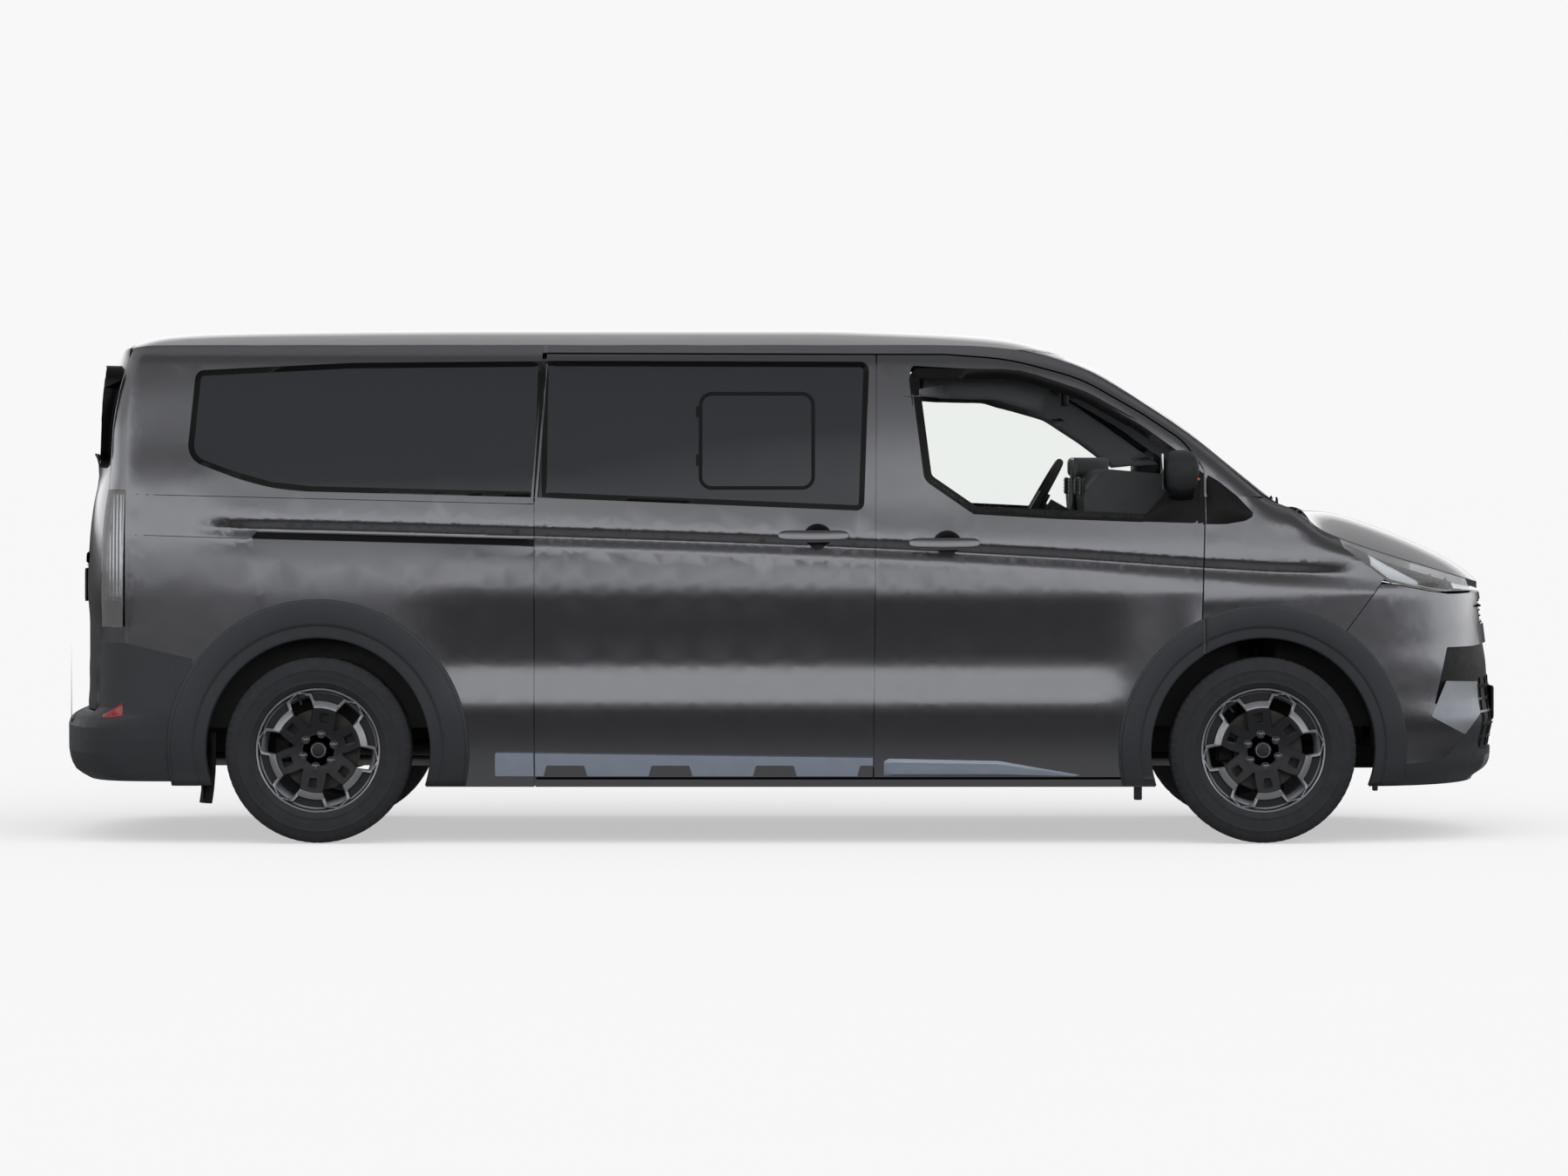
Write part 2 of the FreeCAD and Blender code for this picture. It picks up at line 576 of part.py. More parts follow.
    hood_tool = top_slab(1920, 2652, HOOD_WALL + SHUT_GAP, HOOD_MARGIN - SHUT_GAP, 60, 2.4, HOOD_CENTRE,
                         FENDER_EDGE, 1.7)
    fender = side_slab(*FENDER_GRID, body_edge, FENDER_WALL).cut(hood_tool).cut(above(PILLAR_FOOT))
    fender = fender.cut(side_prism([(1500, 0), (1500, 676), (FRONT_SHUT_X - 9 + 3, 676), (FRONT_SHUT_X + 9, 1190),
                                    (FRONT_SHUT_X + 9, 1500), (1500, 1500), (1000, 1500), (1000, 0)]))
    fender = fender.cut(side_prism(grown(HEAD_LAMP, SEAT))).cut(side_prism(grown(BUMPER_SIDE, 3))).cut(front_arch)
    parts["fender"] = largest(fender)

    levels = spaced(930, 1140, 30)
    lamp = end_solid(NOSE, NOSE_START, NOSE_POWER, 1, levels, 0, False, FENDER_EDGE)
    lamp = lamp.cut(end_solid(NOSE, NOSE_START, NOSE_POWER, 1, [920] + levels[1:-1] + [1150], 60))
    lamp = lamp.common(side_prism(HEAD_LAMP, -1300, -LAMP_INNER_Y)).cut(over_edge(FENDER_EDGE, 2000, 2800))
    parts["head_lamp"] = largest(lamp.cut(hood_tool))
    lamp = side_slab(-2560, -2400, ROOF_EDGE, 60, step=40).cut(above(1308)).cut(below(801))
    lamp = lamp.cut(side_prism([(-2448, 780), (-2444, 1100), (-2438, 1350), (-2300, 1350), (-2300, 780)]))
    parts["tail_lamp"] = largest(lamp.cut(front_prism(grown(TAILGATE, SHUT_GAP), -2900, -2380)))
    hood = top_slab(1952, 2650, HOOD_WALL, HOOD_MARGIN, 0, 2.4, HOOD_CENTRE, FENDER_EDGE, 1.7)
    parts["hood"] = hood

    front_ring = half_ring(FRONT_AXLE_X, FRONT_TRIM_RADIUS, FRONT_TRIM_INNER, -1300, -300, SILL_BOTTOM)
    parts["rear_trim"] = largest(trim_sheet(QUARTER_GRID, ROOF_EDGE, ARCH_TRIM_THICK).common(
        half_ring(REAR_AXLE_X, REAR_TRIM_RADIUS, REAR_TRIM_INNER, -1300, -300, SILL_BOTTOM)))
    parts["door_trim"] = largest(trim_sheet(DOOR_GRID, ROOF_EDGE, ARCH_TRIM_THICK).common(front_ring).common(
        side_prism(grown(FRONT_DOOR, -SHUT_GAP / 2))))
    behind = side_prism([(900, 0), (FRONT_SHUT_X - 9, 0), (FRONT_SHUT_X - 9, 676), (FRONT_SHUT_X, 950), (900, 950)])
    nose = end_solid(NOSE, NOSE_START, NOSE_POWER, 1, [190] + spaced(250, 910, 50) + [970], -SEAL, False, FENDER_EDGE)
    trim = trim_sheet(FENDER_GRID, body_edge, ARCH_TRIM_THICK).common(front_ring).cut(behind)
    parts["fender_trim"] = largest(trim.cut(nose))
    for name, grid, region in [("door", DOOR_GRID, grown(FRONT_DOOR, -SHUT_GAP / 2)),
                               ("sliding", SLIDING_GRID, grown(SLIDING_DOOR, -SHUT_GAP / 2)),
                               ("rear", QUARTER_GRID, [(-1100, 100), (REAR_SHUT_X - 3, 100), (REAR_SHUT_X - 3, 900),
                                                       (-1100, 900)])]:
        band = trim_sheet(grid, ROOF_EDGE, TRIM_THICK).common(side_prism(SILL_TRIM)).common(side_prism(region))
        for centre in (-806, -417, -31, 355, 742):
            if grid[0] < centre < grid[1]:
                band = band.cut(side_prism([(centre - 95, 200), (centre + 95, 200), (centre + 70, 290, 8),
                                            (centre - 70, 290, 8)]))
        parts["sill_trim_" + name] = largest(band)
    return parts


def cabin_shell():
    """Floor with its rails and sills, and the bulkhead ahead of the cabin."""
    floor = block(-2480, 1500, -800, 800, FLOOR_TOP - 30, FLOOR_TOP)
    for x, inner in [(FRONT_AXLE_X, FRONT_LINER_Y), (REAR_AXLE_X, REAR_LINER_Y)]:
        for y0, y1 in [(inner - 20, 1300), (-1300, -inner + 20)]:
            floor = floor.cut(cylinder_y(LINER_RADIUS + SEAL, y0, y1, x, TYRE_RADIUS))
    bulkhead = block(1500, 1515, -528, 528, 330, 1000)
    shelf = block(1300, 1515, -780, 780, 800, 1000)
    pieces = [floor, bulkhead, shelf]
    outside = side_slab(*POST_GRID, ROOF_EDGE, 300 + DOOR_WALL + SEAL_DEPTH + PILLAR_WALL + SEAL, -300)
    pieces += both(block(-980, 1310, -950, -780, 260, FLOOR_TOP).cut(outside))
    for y0 in (RAIL_Y, -RAIL_Y - 100):
        rail = block(-2480, 1590, y0, y0 + 100, 320, FLOOR_TOP - 20)
        pieces.append(rail.cut(block(REAR_AXLE_X - 110, REAR_AXLE_X + 110, y0, y0 + 100, 300, FLOOR_TOP - 30)))
    return fused(pieces)


def tyre(y):
    half = TYRE_WIDTH / 2
    section = [(BEAD_RADIUS, -80, 5), (BEAD_RADIUS + 30, -94, 20), (285, -half, 60), (322, -97, 18),
               (TYRE_RADIUS, -80, 14), (TYRE_RADIUS, 80, 14), (322, 97, 18), (285, half, 60),
               (BEAD_RADIUS + 30, 94, 20), (BEAD_RADIUS, 80, 5), (BEAD_RADIUS, 62), (300, 82, 40), (318, 60, 12),
               (318, -60, 12), (300, -82, 40), (BEAD_RADIUS, -62)]
    face = outline(section, lambda r, w: V(0, w, r))
    ring = face.revolve(V(0, 0, 0), V(0, 1, 0), 360)
    return ring.translated(V(0, y, 0))


def rim(y, side, turn):
    """A six-spoke wheel, its face towards side (-1 right, 1 left)."""
    half = 90.0
    section = [(BEAD_RADIUS - 0.2, -half), (BEAD_RADIUS + 12, -half - 6, 3), (BEAD_RADIUS + 12, -half - 12, 3),
               (BEAD_RADIUS - 8, -half - 6), (BEAD_RADIUS - 12, -half + 10), (RIM_WELL - 8, -50), (RIM_WELL - 8, 50),
               (BEAD_RADIUS - 12, half - 10), (BEAD_RADIUS - 8, half + 6), (BEAD_RADIUS + 12, half + 12, 3),
               (BEAD_RADIUS + 12, half + 6, 3), (BEAD_RADIUS - 0.2, half), (BEAD_RADIUS - 0.2, half - 22),
               (RIM_WELL, 40), (RIM_WELL, -40), (BEAD_RADIUS - 0.2, -half + 22)]
    barrel = outline(section, lambda r, w: V(0, w, r)).revolve(V(0, 0, 0), V(0, 1, 0), 360)
    front = side * (half - 2)
    plate = Part.makeCylinder(BEAD_RADIUS - 9, 26, V(0, min(front, front - side * 26), 0), V(0, 1, 0))
    hub = Part.makeCylinder(76, 60, V(0, min(front - side * 8, front - side * 68), 0), V(0, 1, 0))
    wheel = barrel.fuse(plate).fuse(hub)
    for k in range(6):
        a = turn + 60 * k
        wide = [(96, -4, 4), (165, -17.0, 8), (206, -12, 8), (206, 12, 8), (165, 17.0, 8), (96, 4, 4)]
        points = [(r * math.cos(math.radians(a + d)), r * math.sin(math.radians(a + d)), c) for r, d, c in wide]
        hole = outline(points, lambda p, q: V(p, -300, q)).extrude(V(0, 600, 0))
        wheel = wheel.cut(hole)
        b = a + 30
        slot = [(104, -7, 5), (140, -8, 5), (140, 8, 5), (104, 7, 5)]
        points = [(r * math.cos(math.radians(b + d)), r * math.sin(math.radians(b + d)), c) for r, d, c in slot]
        wheel = wheel.cut(outline(points, lambda p, q: V(p, -300, q)).extrude(V(0, 600, 0)))
    bore = Part.makeCylinder(SPINDLE_RADIUS + RUNNING, 400, V(0, -200 if side < 0 else -200, 0), V(0, 1, 0))
    cap = Part.makeCylinder(31, 30, V(0, min(front, front - side * 30), 0), V(0, 1, 0))
    wheel = wheel.cut(bore).fuse(cap).removeSplitter()
    return wheel.translated(V(0, y, 0))


def disc(y, side):
    """A brake disc with its hat, which meets the back of the wheel's hub."""
    back = side * 12
    plate = Part.makeCylinder(DISC_RADIUS, 22, V(0, min(-back - side * 22, -back), 0), V(0, 1, 0))
    hat = Part.makeCylinder(76, 32 - SEAL, V(0, min(-back, side * (20 - SEAL)), 0), V(0, 1, 0))
    bore = Part.makeCylinder(SPINDLE_RADIUS + RUNNING, 400, V(0, -200, 0), V(0, 1, 0))
    return plate.fuse(hat).cut(bore).removeSplitter().translated(V(0, y, 0))


def caliper(x):
    """A right-hand brake caliper straddling the disc's rear edge, on an arm that reaches to the axle."""
    z = TYRE_RADIUS
    body = block(x - 166, x - 104, -886, -800, z - 46, z + 46)
    body = body.makeFillet(10, body.Edges)
    body = body.cut(cylinder_y(DISC_RADIUS + 7, -866, -826, x, z))
    return fused([body, block(x - 130, x, -816, -786, z - 18, z + 18)])


def wheels():
    for name, x, side in [("front_right", FRONT_AXLE_X, -1), ("front_left", FRONT_AXLE_X, 1),
                          ("rear_right", REAR_AXLE_X, -1), ("rear_left", REAR_AXLE_X, 1)]:
        move = V(x, 0, TYRE_RADIUS)
        add("tyre_" + name, tyre(side * WHEEL_CENTRE_Y).translated(move))
        turn = FRONT_WHEEL_TURN if x > 0 else REAR_WHEEL_TURN
        add("rim_" + name, rim(side * WHEEL_CENTRE_Y, side, turn).translated(move))
        add("brake_disc_" + name, disc(side * WHEEL_CENTRE_Y, side).translated(move))


def knuckle():
    """Right-hand steered knuckle: an upright on two pins, with the spindle that carries the wheel."""
    x, y, z = FRONT_AXLE_X, -KINGPIN_Y, TYRE_RADIUS
    upright = block(x - 34, x + 34, y - 16, y + 16, z - BALL_HEIGHT + 17, z + BALL_HEIGHT - 17)
    pins = Part.makeCylinder(12, 2 * BALL_HEIGHT + 24, V(x, y, z - BALL_HEIGHT - 12))
    spindle = cylinder_y(SPINDLE_RADIUS, -WHEEL_CENTRE_Y - SPINDLE_REACH, y, x, z)
    return fused([upright, pins, spindle, caliper(x)])


def front_suspension():
    x, z = FRONT_AXLE_X, TYRE_RADIUS
    pieces = [block(x - 120, x + 120, -380, 380, 170, 260)]
    eyes = []
    for side in (1, -1):
        for height in (z - BALL_HEIGHT, z + BALL_HEIGHT):
            a = V(x, side * (KINGPIN_Y), height)
            pieces.append(Part.makeCylinder(24, 24, a - V(0, 0, 12)))
            pieces.append(block(x - 22, x + 22, min(side * 380, side * 785), max(side * 380, side * 785), height - 12,
                                height + 12))
            eyes.append(Part.makeCylinder(12 + RUNNING, 40, a - V(0, 0, 20)))
        pieces.append(block(x - 60, x + 60, min(side * 400, side * 500), max(side * 400, side * 500), 250, 640))
        pieces.append(block(1590 + SEAT, 2440, min(side * 330, side * 400), max(side * 330, side * 400), 255, 340))
        pieces.append(tube(V(x, side * 620, z - BALL_HEIGHT), V(x, side * 568, 740), 28))
        pieces.append(block(x - 40, x + 40, min(side * 400, side * 580), max(side * 400, side * 580), 610, 640))
    whole = fused(pieces)
    for eye in eyes:
        whole = whole.cut(eye)
    return whole


def rear_axle():
    x, z = REAR_AXLE_X, TYRE_RADIUS
    beam = cylinder_y(45, -790, 790, x, z)
    stubs = cylinder_y(SPINDLE_RADIUS, -WHEEL_CENTRE_Y - SPINDLE_REACH, WHEEL_CENTRE_Y + SPINDLE_REACH, x, z)
    arms = []
    for side in (1, -1):
        arms.append(tube(V(x, side * 560, z), V(x + 520, side * 560, 340), 32))
        arms.append(block(x + 480, x + 540, min(side * 480, side * 600), max(side * 480, side * 600), 310,
                          FLOOR_TOP - 30 - SEAT))
    return fused([beam, stubs] + arms + both(caliper(x)))


def liners(x, inner):
    """One right-hand wheelhouse: an arched shell with an inner wall, and at the rear a mudflap hanging from it."""
    shell = half_ring(x, LINER_RADIUS, LINER_RADIUS - LINER_WALL, -LINER_OUTER_Y, -inner, 350)
    wall = cylinder_y(LINER_RADIUS - 1, -inner - LINER_WALL, -inner, x, TYRE_RADIUS).cut(below(420))
    if x > 0:
        return shell.fuse(wall.cut(block(x - 70, x + 70, -2000, 2000, 0, 772)))
    back = x - LINER_RADIUS
    return fused([shell, wall, block(back, back + LINER_WALL, -LINER_OUTER_Y, -inner, FLAP_BOTTOM, 352)])


def front_bumper_parts():
    """The painted bumper shell, its black lip, its silver pieces and the dark meshes set into it."""
    levels = spaced(200, 960, 50)
    wide = [190] + levels[1:-1] + [970]
    outer = end_solid(NOSE, NOSE_START, NOSE_POWER, 1, levels, 0, False, FENDER_EDGE)
    inner = end_solid(NOSE, NOSE_START, NOSE_POWER, 1, wide, BUMPER_WALL)
    mesh = end_solid(NOSE, NOSE_START, NOSE_POWER, 1, wide, MESH_DEPTH)
    lamp = side_prism(grown(HEAD_LAMP, SEAT), -1300, -LAMP_INNER_Y + SEAT)
    arch = cylinder_y(ARCH_OPENING, -1300, 1300, FRONT_AXLE_X, TYRE_RADIUS)
    shell = outer.cut(inner).common(side_prism(BUMPER_SIDE, -1300, 1300))
    shell = shell.cut(lamp).cut(mirrored(lamp)).cut(arch).cut(below(SILL_BOTTOM))

    upper, lower = (front_prism(shape, 2300, 2900) for shape in (UPPER_GRILLE, LOWER_INTAKE))
    band = side_prism(NOSE_BAND, -1300, 1300)
    lip_region = side_prism(NOSE_LIP, -1300, 1300)
    corner_region = side_prism(NOSE_CORNER, -1300, -CORNER_INNER_Y)
    skid = front_prism(SKID, 2300, 2900)
    painted = shell.cut(upper).cut(lower).cut(band).cut(lip_region)
    painted = largest(painted.cut(corner_region).cut(mirrored(corner_region)))
    lip = shell.common(side_prism(grown(NOSE_LIP, -SEAL), -1300, 1300)).cut(lower).cut(skid)
    lips = [solid for solid in lip.Solids if solid.Volume > 1e4]
    corner = largest(shell.common(side_prism(grown(NOSE_CORNER, -SEAL), -1300, -CORNER_INNER_Y)))
    skid = largest(shell.common(lip_region).common(front_prism(grown(SKID, -SEAL), 2300, 2900)).cut(lower))

    sheet = mesh.cut(inner)
    openings = side_prism(grown(NOSE_BAND, -SEAL), -1300, 1300).fuse(
        front_prism(grown(LOWER_INTAKE, -SEAL), 2300, 2900))
    dark = largest(sheet.common(openings).cut(lip_region.cut(lower)))
    dark = largest(dark.cut(corner_region).cut(mirrored(corner_region)))
    top = largest(sheet.common(front_prism(grown(UPPER_GRILLE, -SEAL), 2300, 2900)))
    return painted, lips, both(corner) + [skid], [top, dark]


def rear_bumper():
    levels = [228, 242, 257, 280, 302, 330, 380, 425, 440, 452, 462, 468, 476, 500, 600]
    outer = end_solid(STEP, TAIL_START, TAIL_POWER, -1, levels + [741], 0, True)
    inner = end_solid(STEP, TAIL_START, TAIL_POWER, -1, [200] + levels[1:] + [760], 60, True)
    shell = outer.cut(inner).common(side_prism(REAR_CORNER, -1300, 1300))
    shell = shell.cut(front_prism(grown(TAILGATE, SHUT_GAP), -2900, -2380))
    side = side_slab(*QUARTER_GRID, ROOF_EDGE, 60).common(side_prism(REAR_CORNER)).cut(below(228))
    side = side.common(block(-TAIL_START + SEAL, -2000, -1300, 0, 0, 1000))
    side = largest(side.cut(arch_cut(REAR_AXLE_X, ARCH_OPENING)))
    return [largest(shell.cut(below(228)))] + both(side)


def tailgate_parts():
    """The tailgate with its window cut, and the pane in it."""
    heights = spaced(486, 1768, 64) + [1800, 1820, 1835, 1852, 1864]
    outer = end_solid(TAIL, TAIL_START, TAIL_POWER, -1, heights)
    inner = end_solid(TAIL, TAIL_START, TAIL_POWER, -1, [480] + heights[1:], TAILGATE_WALL)
    crown = top_slab(-2700, -2380, 0, -40, 200)
    window = front_prism(TAIL_WINDOW, -2900, -2350)
    shell = outer.cut(inner).common(front_prism(TAILGATE, -2900, -2350)).cut(crown)
    shell = shell.cut(block(CORNER_X, -2000, -1200, 1200, 0, 2000)).cut(window)
    rim_in = end_solid(TAIL, TAIL_START, TAIL_POWER, -1, heights, GLASS_INSET)
    pane = rim_in.cut(end_solid(TAIL, TAIL_START, TAIL_POWER, -1, [480] + heights[1:], GLASS_INSET + GLASS))
    pane = pane.common(front_prism(grown(TAIL_WINDOW, -SEAL), -2900, -2350))
    return largest(shell), largest(pane)


def roof_parts():
    """Roof panel, windscreen, hood and cowl."""
    roof = top_slab(-2440, 1100, ROOF_WALL, ROOF_MARGIN).cut(ahead_of(WINDSCREEN_TOP, -SHUT_GAP, 2500))
    roof = roof.cut(block(-2500, CORNER_X + SHUT_GAP, -1000, 1000, 1500, 2000))
    pane = top_slab(740, 1930, WINDSCREEN_DROP, WINDSCREEN_MARGIN).cut(
        ahead_of(WINDSCREEN_TOP, 0, -2500)).cut(ahead_of(WINDSCREEN_FOOT, 0, 2500))
    hood = top_slab(1954, 2650, HOOD_WALL, HOOD_MARGIN, 0, 2.4, HOOD_CENTRE, FENDER_EDGE, 1.7)
    cowl = side_prism([(1630 + SEAL, 1140), (1925, 1140), (1944, 1170), (1944, 1192), (1890, 1205), (1800, 1215),
                       (1630 + SEAL, 1290)], -800, 800)
    cowl = fused([cowl] + [block(1925, 1954 - SEAL, y - 35, y + 35, 1182, 1216) for y in (-600, 600)])
    glass_tool = top_slab(860, 1990, WINDSCREEN_DROP + SEAT, WINDSCREEN_MARGIN - 30, 60)
    hinges = [block(CORNER_X + SEAL, CORNER_X + 30, y - 40, y + 40, 1818, 1846) for y in (-520, 520)]
    return fused([largest(roof)] + hinges), largest(pane), hood, largest(cowl.cut(glass_tool))


def handle(x0, x1, z0, z1):
    """A right-hand pull handle: a rounded grip on two feet, standing off the skin."""
    grip = rounded_block(x0, x1, -1016, -999, z0, z1, 7)
    skin = side_slab(x0 - 20, x1 + 20, ROOF_EDGE, 200, -SEAL)
    feet = []
    for x in (x0 + 12, x1 - 47):
        feet.append(block(x, x + 35, -1005, -960, z0 + 7, z1 - 7))
    return fused([grip] + feet).cut(skin)


def mirror_housing():
    """Right-hand door mirror on its foot."""
    skin = side_slab(1380, 1570, ROOF_EDGE, 300, GLASS_INSET - SEAL)
    housing = rounded_block(1392, 1530, -1145, -975, 1290, 1460, 34)
    foot = block(1420, 1530, -1010, -900, 1262, 1300)
    foot = foot.makeFillet(8, foot.Edges)
    return fused([housing, foot]).cut(skin)


def steering_wheel():
    """The wheel drawn flat round its own axis, then tilted onto the column."""
    ring = Part.makeTorus(180, 15)
    hub = Part.makeCylinder(52, 40, V(0, 0, -32))
    spokes = []
    for a in (10, 170, 270):
        arm = block(40, 176, -16, 16, -14, 2)
        arm.rotate(V(0, 0, 0), V(0, 0, 1), a)
        spokes.append(arm)
    bore = Part.makeCylinder(16 + RUNNING, 30, V(0, 0, -40))
    return placed_on_column(fused([ring, hub] + spokes).cut(bore))


def placed_on_column(shape):
    shape.rotate(V(0, 0, 0), V(0, 0, 1), 90)
    shape.rotate(V(0, 0, 0), V(0, 1, 0), -(90 - WHEEL_TILT))
    return shape.translated(V(990, 420, 1253))


def dashboard():
    body = side_prism([(1140, 1000.5), (1118, 1290, 40), (1190, 1388, 60), (1480, 1362, 80), (1630, 1300),
                       (1630, 1000.5)], -780, 780)
    column = Part.makeCylinder(16, 240, V(0, 0, -252))
    shroud = Part.makeCylinder(40, 200, V(0, 0, -242))
    return fused([body, placed_on_column(column), placed_on_column(shroud)])


def seat(x, y, width, places):
    """A seat or bench in side profile, with headrests and a pedestal standing on the floor."""
    low = FLOOR_TOP + SEAT
    profile = [(x + 40, 700), (x + 560, 740, 20), (x + 560, 850, 40), (x + 150, 820, 30), (x + 45, 1400, 30),
               (x - 65, 1400, 30), (x + 10, 780, 30)]
    pieces = [side_prism(profile, y - width / 2, y + width / 2),
              block(x + 110, x + 470, y - width / 2 + 60, y + width / 2 - 60, low, 740)]
    for k in range(places):
        c = y + (k - (places - 1) / 2) * width / places
        pieces.append(block(x - 45, x + 15, c - 125, c + 125, 1425, 1590))
        pieces.append(block(x - 25, x - 5, c - 40, c + 40, 1380, 1440))
    return fused(pieces)


def exhaust():
    pipe = tube(V(1500, 200, 262), V(-2520, 200, 262), 26)
    muffler = rounded_block(-1300, -800, 110, 290, 190, 330, 50)
    hangers = [block(x - 8, x + 8, 192, 208, 262, FLOOR_TOP - 30 - SEAT) for x in (1000, -400, -2100)]
    return fused([pipe, muffler] + hangers)


if __name__ == "__main__":
    os.makedirs("parts", exist_ok=True)
    parts = skin_parts()
    add("rear_quarters", *both(parts["quarter"]), *both(parts["upper_corner"]), *both(parts["lower_corner"]))
    add("side_frames", *both(parts["rail"]), *both(parts["post"]), *both(parts["strip"]))
    add("sliding_doors", *both(parts["sliding"]))
    add("side_glass", *both(parts["quarter_glass"]), *both(parts["sliding_glass"]))
    add("front_fenders", *both(parts["fender"]))
    add("head_lamps", *both(parts["head_lamp"]))
    add("tail_lamps", *both(parts["tail_lamp"]))
    add("arch_cladding", *both(parts["rear_trim"]), *both(parts["fender_trim"]))
    add("sill_trims", *both(parts["sill_trim_sliding"]), *both(parts["sill_trim_rear"]))
    add("door_seals", *both(parts["sliding_seal"]), *both(parts["front_seal"]))
    add("sliding_door_handles", *both(handle(-20, 245, 1121, 1159)))
    front_handle = handle(462, 729, 1093, 1131)
    mirror = mirror_housing()
    for side, turn in [("right", lambda q: q), ("left", mirrored)]:
        add("front_door_" + side, turn(parts["front"]))
        add("door_glass_" + side, turn(parts["front_glass"]))
        add("door_trim_" + side, turn(parts["door_trim"]), turn(parts["sill_trim_door"]))
        add("door_handle_" + side, turn(front_handle))
        add("door_mirror_" + side, turn(mirror))
        add("knuckle_" + side, turn(knuckle()))
    roof, windscreen, hood, cowl = roof_parts()
    add("roof_panel", roof)
    add("windscreen", windscreen)
    add("hood", hood)
    add("cowl_panel", cowl)
    gate, pane = tailgate_parts()
    add("tailgate", gate)
    add("tailgate_glass", pane)
    painted, lips, silver, inserts = front_bumper_parts()
    add("front_bumper", painted)
    add("bumper_lip", *lips)
    add("bumper_silver", *silver)
    add("grilles", *inserts)
    add("rear_bumper", *rear_bumper())
    add("floor_pan", cabin_shell())
    wheels()
    add("front_suspension", front_suspension())
    add("rear_axle", rear_axle())
    add("arch_liners", *both(liners(FRONT_AXLE_X, FRONT_LINER_Y)), *both(liners(REAR_AXLE_X, REAR_LINER_Y)))
    add("steering_wheel", steering_wheel())
    add("dashboard", dashboard())
    add("front_seats", *both(seat(330, -420, 520, 1)))
    add("rear_seats", seat(-620, 0, 1240, 3), seat(-1500, 0, 1240, 3))
    add("engine_block", block(1600, 2200, -320, 320, 260 + SEAT, 960))
    add("fuel_tank", rounded_block(-300, 500, -370, -40, 240, FLOOR_TOP - 30 - SEAT, 25))
    add("exhaust", exhaust())
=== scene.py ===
"""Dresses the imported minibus: paint, glass, lamps, wheels, cabin and a plain studio round it.

The file is laid out as an add-on: its sizes and colours are properties, its pieces are operators. It runs as a script,
and the main function at the end calls the operators in order. Lengths in the geometry are millimetres in the frame's
axes: +X towards the nose, +Y to the left side, +Z up.
"""

import math

import bmesh
import bpy
from mathutils import Matrix, Vector
from mathutils.bvhtree import BVHTree


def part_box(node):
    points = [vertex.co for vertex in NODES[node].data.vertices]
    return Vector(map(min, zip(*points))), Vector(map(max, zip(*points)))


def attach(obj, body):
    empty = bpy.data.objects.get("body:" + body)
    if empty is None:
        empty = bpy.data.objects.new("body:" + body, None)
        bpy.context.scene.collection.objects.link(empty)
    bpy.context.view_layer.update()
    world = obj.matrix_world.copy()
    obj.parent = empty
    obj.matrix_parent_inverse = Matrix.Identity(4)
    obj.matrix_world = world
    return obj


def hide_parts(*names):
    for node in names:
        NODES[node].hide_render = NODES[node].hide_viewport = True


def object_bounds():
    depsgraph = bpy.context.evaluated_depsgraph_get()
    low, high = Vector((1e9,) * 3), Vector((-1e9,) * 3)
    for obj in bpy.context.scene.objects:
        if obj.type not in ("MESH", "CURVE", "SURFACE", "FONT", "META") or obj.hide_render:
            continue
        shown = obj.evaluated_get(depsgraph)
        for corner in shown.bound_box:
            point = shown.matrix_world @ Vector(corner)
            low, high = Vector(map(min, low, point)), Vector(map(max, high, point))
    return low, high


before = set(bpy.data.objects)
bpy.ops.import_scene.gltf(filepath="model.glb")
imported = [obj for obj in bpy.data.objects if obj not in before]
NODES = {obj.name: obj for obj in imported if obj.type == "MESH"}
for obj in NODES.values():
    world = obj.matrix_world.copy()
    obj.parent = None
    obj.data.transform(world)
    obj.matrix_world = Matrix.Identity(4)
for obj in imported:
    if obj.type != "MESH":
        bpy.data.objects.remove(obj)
CAD_BOX = [list(corner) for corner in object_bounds()]

bl_info = {
    "name": "Minibus dressing",
    "version": (1, 0, 0),
    "blender": (4, 5, 0),
    "location": "3D View > Sidebar > Minibus",
    "description": "Paint, glass, lamps, wheels and cabin for the minibus frame",
    "category": "Object",
}

MM = 0.001
SIDES = {"right": -1, "left": 1}


def handed(shape, hand):
    """The shape for one side: it is drawn on the right, and mirrored for the left."""
    return shape if hand < 0 else shape.mirrored()


def node_box(name):
    """A CAD node's lowest and highest corner in millimetres."""
    low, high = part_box(name)
    return low / MM, high / MM


def axle_of(name):
    """How far forward the middle of a wheel's node lies."""
    low, high = node_box(name)
    return (low.x + high.x) / 2


FRONT_AXLE, REAR_AXLE = axle_of("rim_front_right"), axle_of("rim_rear_right")
HUB_HEIGHT = (node_box("rim_front_right")[0].z + node_box("rim_front_right")[1].z) / 2


# ---- shapes: points and faces gathered before they become one piece


